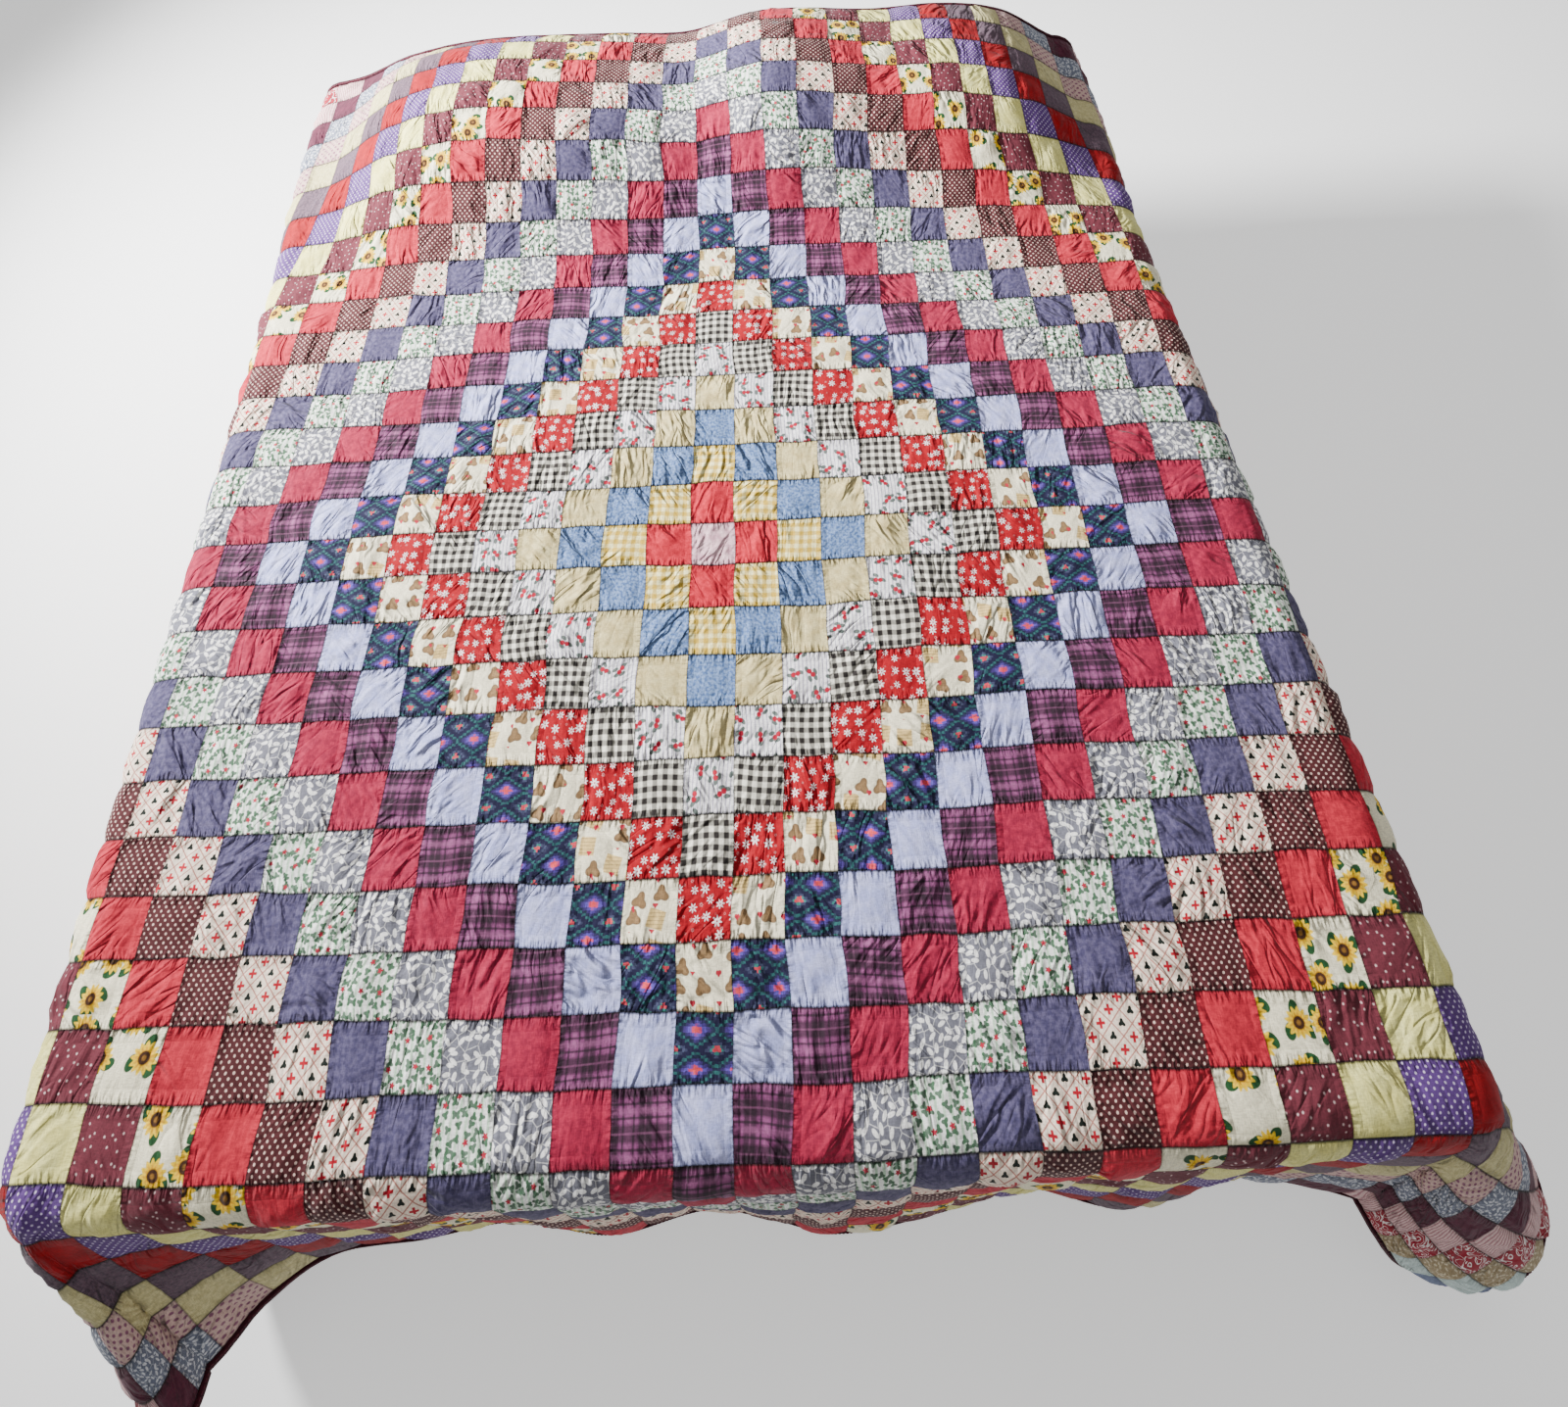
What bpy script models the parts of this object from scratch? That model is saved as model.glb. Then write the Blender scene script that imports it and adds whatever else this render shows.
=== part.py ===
"""Patchwork quilt draped over a plain bed.

A pieced quilt lies a little turned on a made bed, over two pillows at the head, and hangs down
both sides and the foot, with a loose ear of cloth at each foot corner.  The quilt is three
pieces, as it is sewn: the pieced top with its batting, the backing, and the binding round the
edge.  Under it are two pillows, the mattress and a plain base, so the cloth has its real support.

The drape is worked out in patches: one unit is the side of one square of the patchwork.  The
quilt's own coordinates are u across and v toward the head; the bed's are x across, y toward the
head and z up from the mattress top.  The origin of the finished part is on the floor, under the
middle of the base, with +Y toward the head.
"""

import math

import bmesh
import bpy
from mathutils import Vector

# Driving dimensions, in metres unless a name says otherwise.
PATCH = 0.0762              # finished side of one square of the patchwork, 3 in
COLUMNS = 37                # squares across
ROWS = 33                   # squares from foot to head
TOP_THICKNESS = 0.0050      # pieced top with its batting
BACKING_THICKNESS = 0.0020
SHEET_GAP = 0.0005          # between backing and top
BINDING_WIDTH = 0.0115
BINDING_GAP = 0.0012
QUILT_TURN = math.radians(3.3)   # how far the quilt lies turned on the bed

BED_TOP = 0.710             # floor to the top of the mattress
BASE_HEIGHT = 0.390
SEAT_GAP = 0.0004           # between pieces that rest on each other
CLOTH_CLEARANCE = 0.0045    # mattress side to the plane that the cloth hangs from
MATTRESS_ROUND = 0.082
BASE_INSET = 0.035
BASE_ROUND = 0.012

# Planes that the hanging cloth starts from, in patches in the bed's coordinates.
SIDE_PLANE = {"left": 12.50, "right": 12.65}
FOOT_PLANE = 10.90          # at the middle of the width
FOOT_SLANT = 0.035          # the quilt stands farther off the bed's foot toward the right
MATTRESS_FOOT = 10.46       # foot end of the mattress
MATTRESS_HEAD = 16.10       # head end of the mattress
CLOTH_BEND = 0.80           # radius of the cloth over the mattress edge
EAR_WEDGE = 6.0             # length of rim given to the turn round a foot corner
EAR_TURN_OVER = 3.4         # patches of hanging cloth over which it turns to its heading
CURL_FROM = 6.0             # patches below the edge at which a free corner starts to curl in
CURL = 0.26                 # radians of curl for each patch below that

# Cloth taken up by the end of a pillow, in patches, and where along the width it starts.
PILLOW_TAKE_UP = {"left": 1.05, "right": 0.90}
TAKE_UP_FROM = 6.0

# The rim from the head end of a side (negative), round the foot corner (0 to 6) and along the
# foot to the middle.  Columns: rim position in patches, the heading of the hanging cloth in
# degrees from the side's outward direction toward the foot's, and its flare from straight down.
LEFT_RIM = (
    (-27.0, 0, 8), (-24.5, 0, 10), (-22.0, 0, 5), (-19.0, 0, 9), (-16.0, 0, 5), (-13.0, 0, 8),
    (-10.0, 0, 5), (-7.0, 0, 8), (-4.5, 1, 7), (-2.0, 2, 7), (0.0, 7, 8), (1.0, 28, 11),
    (2.0, 56, 16), (3.0, 79, 26), (4.0, 94, 35), (5.0, 104, 38), (6.0, 108, 31),
    (7.0, 106, 21), (8.5, 101, 13), (10.5, 97, 11), (12.5, 94, 9), (14.5, 91, 12),
    (16.5, 90, 9), (18.0, 90, 11),
)
RIGHT_RIM = (
    (-27.0, 0, 6), (-24.0, 0, 9), (-21.0, 0, 4), (-18.0, 0, 8), (-15.0, 1, 5), (-12.0, 1, 8),
    (-9.0, 2, 5), (-6.5, 4, 8), (-4.0, 7, 9), (-2.0, 12, 14), (0.0, 18, 24), (1.0, 30, 32),
    (2.0, 47, 35), (3.0, 62, 32), (4.0, 75, 26), (5.0, 83, 20), (6.0, 88, 14),
    (7.0, 92, 11), (8.5, 93, 9), (10.5, 93, 13), (12.5, 91, 9), (14.5, 90, 12),
    (16.5, 90, 14), (18.0, 90, 11),
)
RIM = {"left": LEFT_RIM, "right": RIGHT_RIM}

# The rise over the pillows: columns are the position in patches and the share of the height.
RISE_HEIGHT = 2.60
RISE_ALONG = (
    (7.0, 0.0), (8.2, 0.08), (9.3, 0.22), (10.5, 0.49), (11.7, 0.78), (13.0, 0.93),
    (14.6, 0.98), (15.8, 0.92), (17.3, 0.62),
)
RISE_ACROSS = (
    (-14.5, 0.0), (-13.0, 0.06), (-11.0, 0.25), (-9.0, 0.74), (-6.5, 0.99), (-2.5, 0.90),
    (0.0, 0.80), (2.5, 1.08), (6.0, 0.92), (8.0, 0.92), (10.0, 0.74), (12.0, 0.20),
    (13.5, 0.05), (14.5, 0.0),
)

# Stations of the cloth's lattice in patches.  Columns: distance from the middle, and how far the
# line follows the bed's edge (1) instead of the quilt's own edge (0).
ACROSS = (
    (0.0, 1.0), (1.7, 1.0), (3.4, 1.0), (5.1, 1.0), (6.8, 1.0), (8.4, 1.0), (9.8, 1.0),
    (10.9, 1.0), (11.6, 1.0), (11.95, 1.0), (12.3, 1.0), (12.65, 1.0), (13.05, 1.0),
    (13.5, 0.95), (14.1, 0.82), (14.8, 0.66), (15.6, 0.5), (16.6, 0.3), (17.6, 0.15),
    (18.5, 0.0),
)
ALONG = (
    (-16.5, 0.0), (-15.6, 0.15), (-14.7, 0.3), (-13.8, 0.5), (-12.9, 0.7), (-12.1, 0.9),
    (-11.4, 1.0), (-11.0, 1.0), (-10.65, 1.0), (-10.3, 1.0), (-10.0, 1.0), (-9.1, 1.0),
    (-7.5, 1.0), (-5.7, 1.0), (-3.9, 1.0), (-2.1, 1.0), (-0.3, 1.0), (1.5, 1.0), (3.3, 1.0),
    (5.1, 1.0), (6.9, 1.0), (8.0, 1.0), (9.0, 1.0), (9.9, 1.0), (10.8, 1.0), (11.7, 1.0),
    (12.6, 1.0), (13.6, 1.0), (14.6, 0.8), (15.6, 0.5), (16.5, 0.0),
)

# Pillows, in patches in the bed's coordinates.  Columns: name, middle across, middle along,
# half width, half depth.
PILLOWS = (
    ("pillow_left", -6.05, 12.95, 5.95, 3.25),
    ("pillow_right", 6.05, 12.95, 5.95, 3.25),
)
PILLOW_RIM = 0.26           # thickness of a pillow at its seam, in patches
PILLOW_CLEARANCE = 0.07     # cloth to pillow, in patches
PILLOW_CUTS = 7

# Colours: linear red, green, blue, then roughness.
MATERIALS = {
    "patchwork_top": ((0.42, 0.18, 0.17), 0.85),
    "backing": ((0.16, 0.03, 0.05), 0.88),
    "binding": ((0.08, 0.008, 0.018), 0.85),
    "mattress": ((0.74, 0.72, 0.68), 0.9),
    "bed_base": ((0.40, 0.37, 0.33), 0.9),
    "pillow": ((0.80, 0.78, 0.74), 0.9),
}


def clear_scene():
    """Remove every object that the file opens with."""
    for old in list(bpy.data.objects):
        bpy.data.objects.remove(old, do_unlink=True)


def through(rows, position, column):
    """Smooth value through a table's rows at a position, level at both ends."""
    if position <= rows[0][0]:
        return rows[0][column]
    if position >= rows[-1][0]:
        return rows[-1][column]
    index = max(i for i in range(len(rows) - 1) if rows[i][0] <= position)

    def slope(i):
        if i in (0, len(rows) - 1):
            return 0.0
        rise = rows[i + 1][column] - rows[i - 1][column]
        return rise / (rows[i + 1][0] - rows[i - 1][0])

    span = rows[index + 1][0] - rows[index][0]
    s = (position - rows[index][0]) / span
    value = (2 * s ** 3 - 3 * s ** 2 + 1) * rows[index][column]
    value += (s ** 3 - 2 * s ** 2 + s) * span * slope(index)
    value += (3 * s ** 2 - 2 * s ** 3) * rows[index + 1][column]
    value += (s ** 3 - s ** 2) * span * slope(index + 1)
    return value


def ease(value):
    """Smooth step from 0 to 1."""
    value = min(1.0, max(0.0, value))
    return value * value * (3.0 - 2.0 * value)


def rise(x, y):
    """Height of the cloth over the pillows above the flat of the bed."""
    share = through(RISE_ALONG, y, 1) * through(RISE_ACROSS, x, 1)
    return RISE_HEIGHT * max(0.0, share)


def to_bed(u, v):
    """Quilt coordinates to the bed's, for the quilt lying flat and turned."""
    c, s = math.cos(QUILT_TURN), math.sin(QUILT_TURN)
    return u * c + v * s, -u * s + v * c


def to_quilt(x, y):
    """The bed's coordinates to the quilt's."""
    c, s = math.cos(QUILT_TURN), math.sin(QUILT_TURN)
    return x * c - y * s, x * s + y * c


def foot_line(x):
    """Distance from the middle of the bed to the plane of the foot's hanging cloth."""
    reach = SIDE_PLANE["left"]
    return FOOT_PLANE + FOOT_SLANT * max(-reach, min(reach, x))


def fall(length, flare):
    """Distance out and down of cloth a length past the flat, at a flare from straight down."""
    turn = math.pi / 2 - flare
    if length < CLOTH_BEND * turn:
        angle = length / CLOTH_BEND
        return CLOTH_BEND * math.sin(angle), CLOTH_BEND * (1 - math.cos(angle))
    straight = min(length, CURL_FROM) - CLOTH_BEND * turn
    out = CLOTH_BEND * math.sin(turn) + straight * math.sin(flare)
    down = CLOTH_BEND * (1 - math.cos(turn)) + straight * math.cos(flare)
    if length > CURL_FROM:
        end = flare - CURL * (length - CURL_FROM)
        out += (math.cos(end) - math.cos(flare)) / CURL
        down += (math.sin(flare) - math.sin(end)) / CURL
    return out, down


def drape(u, v):
    """Point of the cloth's under face, in patches in the bed's coordinates."""
    x, y = to_bed(u, v)
    side = "left" if x < 0 else "right"
    flat_x = SIDE_PLANE[side] - CLOTH_BEND
    flat_y = foot_line(x) - CLOTH_BEND
    taken = PILLOW_TAKE_UP[side] * through(RISE_ALONG, y, 1)
    edge = flat_x + taken
    past_side = max(0.0, abs(x) - edge)
    past_foot = max(0.0, -y - flat_y)
    if past_side == 0.0:
        drawn = taken * ease((abs(x) - TAKE_UP_FROM) / (edge - TAKE_UP_FROM))
        x = math.copysign(abs(x) - drawn, x)
    x = max(-flat_x, min(flat_x, x))
    y = max(-flat_y, y)
    length = math.hypot(past_side, past_foot)
    if length == 0.0:
        return Vector((x, y, rise(x, y)))
    if past_side > 0 and past_foot > 0:
        rim = EAR_WEDGE * math.atan2(past_foot, past_side) / (math.pi / 2)
    elif past_side > 0:
        rim = -(y + flat_y)
    else:
        rim = EAR_WEDGE + flat_x - abs(x)
    square_on = math.atan2(past_foot, past_side)
    heading = math.radians(through(RIM[side], rim, 1))
    heading = square_on + (heading - square_on) * ease(length / EAR_TURN_OVER)
    flare = math.radians(through(RIM[side], rim, 2))
    out, down = fall(length, flare)
    sign = -1 if side == "left" else 1
    return Vector((x + sign * out * math.cos(heading), y - out * math.sin(heading),
                   rise(x, y) - down))


def place(point):
    """Patches in the bed's coordinates to metres in the part's."""
    middle_x = (SIDE_PLANE["right"] - SIDE_PLANE["left"]) / 2
    middle_y = (MATTRESS_HEAD - MATTRESS_FOOT) / 2
    return Vector(((point.x - middle_x) * PATCH, (point.y - middle_y) * PATCH,
                   BED_TOP + SEAT_GAP + point.z * PATCH))


def tangents(u, v):
    """The cloth's directions along u and along v at a point."""
    step = 0.06
    return drape(u + step, v) - drape(u - step, v), drape(u, v + step) - drape(u, v - step)


def hem_direction(u, v):
    """Outward direction in the cloth's plane, square to each edge that the point lies on."""
    direction = Vector((0.0, 0.0, 0.0))
    along = tangents(u, v)
    for axis, half in enumerate((COLUMNS / 2, ROWS / 2)):
        if abs(abs((u, v)[axis]) - half) < 1e-6:
            edge = along[1 - axis]
            square = along[axis] - edge * (along[axis].dot(edge) / edge.length_squared)
            direction += square.normalized() * math.copysign(1.0, (u, v)[axis])
    return direction


def cloth_point(u, v, lift, out=0.0):
    """Point of the cloth in metres, lifted off its under face and moved out past its edge."""
    along_u, along_v = tangents(u, v)
    point = place(drape(u, v)) + along_u.cross(along_v).normalized() * lift
    return point + hem_direction(u, v) * out if out else point


def station(column, row, signed):
    """Quilt coordinates of a lattice crossing, between the bed's lines and the quilt's."""
    (across, lean_across), (along, lean_along) = column, row
    take_up = PILLOW_TAKE_UP["left" if signed < 0 else "right"] * through(RISE_ALONG, along, 1)
    share = ease((across - TAKE_UP_FROM) / (SIDE_PLANE["left"] - CLOTH_BEND - TAKE_UP_FROM))
    bed_x = signed * (across + take_up * share)
    bed_y = along * (foot_line(bed_x) / FOOT_PLANE if along < 0 else 1.0)
    bed_u, bed_v = to_quilt(bed_x, bed_y)
    u = lean_across * bed_u + (1 - lean_across) * signed * across
    v = lean_along * bed_v + (1 - lean_along) * along
    return u, v


def lattice():
    """Quilt coordinates of the whole lattice, a list of columns, each foot to head."""
    signed = [(-1, row) for row in reversed(ACROSS[1:])] + [(1, row) for row in ACROSS]
    return [[station(column, row, sign) for row in ALONG] for sign, column in signed]


def new_object(name, mesh, material, collection):
    """Link a mesh object and give it its material."""
    made = bpy.data.objects.new(name, mesh)
    collection.objects.link(made)
    mesh.materials.append(material)
    return made


def make_material(name):
    """Principled material from the table of colours."""
    colour, roughness = MATERIALS[name]
    material = bpy.data.materials.new(name)
    material.use_nodes = True
    shader = material.node_tree.nodes["Principled BSDF"]
    shader.inputs["Base Color"].default_value = (*colour, 1.0)
    shader.inputs["Roughness"].default_value = roughness
    shader.inputs["Metallic"].default_value = 0.0
    return material


def thicken(form, low, high):
    """Drape a flat pattern as a layer between two lifts.

    A vertex of the pattern holds its quilt coordinates and its distance out past the edge.
    """
    bmesh.ops.triangulate(form, faces=form.faces[:])
    lower = form.verts[:]
    grown = bmesh.ops.extrude_face_region(form, geom=form.faces[:], use_keep_orig=True)
    upper = [item for item in grown["geom"] if isinstance(item, bmesh.types.BMVert)]
    for vertices, lift in ((lower, low), (upper, high)):
        for vertex in vertices:
            vertex.co = cloth_point(vertex.co.x, vertex.co.y, lift, vertex.co.z)
    bmesh.ops.recalc_face_normals(form, faces=form.faces[:])
    if form.calc_volume(signed=True) < 0:
        bmesh.ops.reverse_faces(form, faces=form.faces[:])


def sheet(name, low, high, collection):
    """One layer of the quilt: a grid laid over the drape, between two lifts off its under face."""
    stations = lattice()
    across, along = len(stations), len(ALONG)
    form = bmesh.new()
    bmesh.ops.create_grid(form, x_segments=across - 1, y_segments=along - 1, size=1.0)
    for vertex in form.verts:
        column = round((vertex.co.x + 1) / 2 * (across - 1))
        row = round((vertex.co.y + 1) / 2 * (along - 1))
        vertex.co = (*stations[column][row], 0.0)
    thicken(form, low, high)
    mesh = bpy.data.meshes.new(name)
    form.to_mesh(mesh)
    form.free()
    return new_object(name, mesh, make_material(name), collection)


def rim_stations():
    """Quilt coordinates once round the edge, counter-clockwise seen from above."""
    stations = lattice()
    foot = [column[0] for column in stations]
    right = list(stations[-1])
    head = [column[-1] for column in reversed(stations)]
    left = list(reversed(stations[0]))
    return foot[:-1] + right[:-1] + head[:-1] + left[:-1]


def binding(collection):
    """The binding: a strip all round the edge, as thick as the layers that it holds."""
    form = bmesh.new()
    loops = []
    for distance in (BINDING_GAP, BINDING_GAP + BINDING_WIDTH):
        loops.append([form.verts.new((u, v, distance)) for u, v in rim_stations()])
    inner, outer = loops
    count = len(inner)
    for i in range(count):
        after = (i + 1) % count
        form.faces.new((inner[i], outer[i], outer[after], inner[after]))
    thicken(form, 0.0, BACKING_THICKNESS + SHEET_GAP + TOP_THICKNESS)
    mesh = bpy.data.meshes.new("binding")
    form.to_mesh(mesh)
    form.free()
    return new_object("binding", mesh, make_material("binding"), collection)


def rounded_box(name, low, high, width, segments, collection):
    """A box between two corners with all its edges rounded."""
    form = bmesh.new()
    bmesh.ops.create_cube(form, size=1.0)
    low, high = Vector(low), Vector(high)
    for vertex in form.verts:
        vertex.co = Vector([low[k] + (vertex.co[k] + 0.5) * (high[k] - low[k]) for k in range(3)])
    mesh = bpy.data.meshes.new(name)
    form.to_mesh(mesh)
    form.free()
    made = new_object(name, mesh, make_material(name), collection)
    bevel = made.modifiers.new("rounding", "BEVEL")
    bevel.width = width
    bevel.segments = segments
    bevel.limit_method = "NONE"
    return made


def pillow(name, middle_x, middle_y, half_x, half_y, material, collection):
    """A pillow under the cloth: flat below, crowned above, drawn in to a seam all round."""
    form = bmesh.new()
    bmesh.ops.create_cube(form, size=2.0)
    bmesh.ops.subdivide_edges(form, edges=form.edges[:], cuts=PILLOW_CUTS, use_grid_fill=True)
    for vertex in form.verts:
        p, q, s = vertex.co
        crown = math.sqrt(max(0.0, 1 - p ** 4) * max(0.0, 1 - q ** 4))
        bow = 1 - 0.035 * (1 - crown)
        x = middle_x + half_x * p * (1 - 0.02 * q * q)
        y = middle_y + half_y * q * bow
        floor = 0.10 * (1 - crown)
        room = rise(x, y) - PILLOW_CLEARANCE - floor
        height = PILLOW_RIM + max(0.0, room - PILLOW_RIM) * crown
        height = min(height, room)
        vertex.co = place(Vector((x, y, floor + (s + 1) / 2 * height)))
    mesh = bpy.data.meshes.new(name)
    form.to_mesh(mesh)
    form.free()
    made = bpy.data.objects.new(name, mesh)
    collection.objects.link(made)
    mesh.materials.append(material)
    return made


def build():
    """Make every piece of the bed and its quilt."""
    clear_scene()
    collection = bpy.data.collections.new("patchwork_quilt_on_bed")
    bpy.context.scene.collection.children.link(collection)

    half_width = (SIDE_PLANE["left"] + SIDE_PLANE["right"]) / 2 * PATCH - CLOTH_CLEARANCE
    half_length = (MATTRESS_HEAD + MATTRESS_FOOT) / 2 * PATCH - CLOTH_CLEARANCE
    rounded_box("mattress", (-half_width, -half_length, BASE_HEIGHT + SEAT_GAP),
                (half_width, half_length, BED_TOP), MATTRESS_ROUND, 4, collection)
    base_x, base_y = half_width - BASE_INSET, half_length - BASE_INSET
    rounded_box("bed_base", (-base_x, -base_y, 0.0), (base_x, base_y, BASE_HEIGHT),
                BASE_ROUND, 2, collection)

    ticking = make_material("pillow")
    for name, middle_x, middle_y, half_x, half_y in PILLOWS:
        pillow(name, middle_x, middle_y, half_x, half_y, ticking, collection)

    top_from = BACKING_THICKNESS + SHEET_GAP
    sheet("backing", 0.0, BACKING_THICKNESS, collection)
    sheet("patchwork_top", top_from, top_from + TOP_THICKNESS, collection)
    binding(collection)
    for made in collection.objects:
        made.data.shade_smooth()
        made.data.set_sharp_from_angle(angle=math.radians(40))


build()
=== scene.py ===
"""Patchwork quilt draped over a made bed: the finished look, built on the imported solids.

The quilt is pieced from 37 by 33 squares of 3 in, each ring of squares round the middle one in
its own cotton.  The drape is the same as the solids', worked out in squares of the patchwork, and
here it is laid finer, with the padding, the seams and the creases of the real cloth.
"""

import logging
import math
from collections.abc import Callable, Sequence
from dataclasses import dataclass, field
from enum import Enum, auto

import bmesh
import bpy
import numpy as np
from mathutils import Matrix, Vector


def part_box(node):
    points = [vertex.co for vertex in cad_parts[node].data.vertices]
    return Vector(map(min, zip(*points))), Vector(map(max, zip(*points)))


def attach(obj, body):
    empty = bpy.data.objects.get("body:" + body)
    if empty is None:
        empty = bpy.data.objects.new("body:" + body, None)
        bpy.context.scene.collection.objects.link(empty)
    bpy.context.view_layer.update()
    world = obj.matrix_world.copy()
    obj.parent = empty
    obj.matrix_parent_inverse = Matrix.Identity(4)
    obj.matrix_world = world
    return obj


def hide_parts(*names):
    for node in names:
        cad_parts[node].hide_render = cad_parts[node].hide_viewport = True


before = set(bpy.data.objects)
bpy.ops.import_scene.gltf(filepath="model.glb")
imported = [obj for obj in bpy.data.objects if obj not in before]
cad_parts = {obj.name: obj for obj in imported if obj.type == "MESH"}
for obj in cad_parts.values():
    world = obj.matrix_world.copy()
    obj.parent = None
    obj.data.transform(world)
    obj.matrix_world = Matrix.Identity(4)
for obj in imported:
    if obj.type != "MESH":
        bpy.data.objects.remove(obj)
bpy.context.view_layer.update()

LOG = logging.getLogger("quilt")
SQUARE_MM = 76.2            # finished side of one square of the patchwork
CREASE_HEIGHT = 0.0058      # height in metres of the deepest crease in the cloth's shading
MATH, VECTOR, MAPPING = "ShaderNodeMath", "ShaderNodeVectorMath", "ShaderNodeMapping"
RANGE, NOISE, MIX = "ShaderNodeMapRange", "ShaderNodeTexNoise", "ShaderNodeMix"
VORONOI, SPLIT, TURN = "ShaderNodeTexVoronoi", "ShaderNodeSeparateXYZ", "ShaderNodeVectorRotate"

Array = np.ndarray
Socket = bpy.types.NodeSocket


def linear(code: str) -> tuple[float, float, float, float]:
    """Turn an sRGB hex colour into a linear one.

    Args:
        code: Six hex digits, such as "C83A55".

    Returns:
        Linear red, green and blue with full alpha.
    """
    parts = [int(code[i:i + 2], 16) / 255 for i in (0, 2, 4)]
    return (*(p / 12.92 if p <= 0.04045 else ((p + 0.055) / 1.055) ** 2.4 for p in parts), 1.0)


def add(tree: bpy.types.NodeTree, kind: str, *values: object, out: int = 0,
        **settings: object) -> Socket:
    """Add a node with its settings and links.

    Args:
        tree: The node tree that gets the node.
        kind: The node's type name.
        values: One for each input in order: a socket to link, a value to set, or None to skip.
        out: Which output to hand back.
        settings: The node's own properties.

    Returns:
        The chosen output socket.
    """
    node = tree.nodes.new(kind)
    for name, value in settings.items():
        setattr(node, name, value)
    for place, value in enumerate(values):
        if isinstance(value, bpy.types.NodeSocket):
            tree.links.new(value, node.inputs[place])
        elif value is not None:
            node.inputs[place].default_value = value
    return node.outputs[out] if len(node.outputs) else None


class Print(Enum):
    """How a cotton is printed or woven."""

    PLAIN = auto()
    MOTTLE = auto()
    GINGHAM = auto()
    PLAID = auto()
    SPRIG = auto()
    DAISY = auto()
    BAKING = auto()
    SERAPE = auto()
    LEAF = auto()
    HOLLY = auto()
    LATTICE = auto()
    DOTS = auto()
    SUNFLOWER = auto()
    STRIPE = auto()
    SCROLL = auto()


@dataclass(frozen=True)
class Cotton:
    """One cotton of the patchwork: washed quilting cotton, matt, with a faint nap.

    Attributes:
        name: The material's name.
        print: How it is printed.
        ground: Hex colour of the ground.
        inks: Hex colours of the print, in the order in which they are laid.
        pitch: Distance between repeats in millimetres.
        size: Size of the motif as a share of the pitch.
        roughness: How matt it is.
        sheen: How much nap it has.
        creased: How creased it is, both in the bump and in the painted shade along its creases; the
            usual cotton has 1.
    """

    name: str
    print: Print
    ground: str
    inks: tuple[str, ...] = ()
    pitch: float = 12.0
    size: float = 0.25
    roughness: float = 0.88
    sheen: float = 0.06
    creased: float = 1.0


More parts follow.
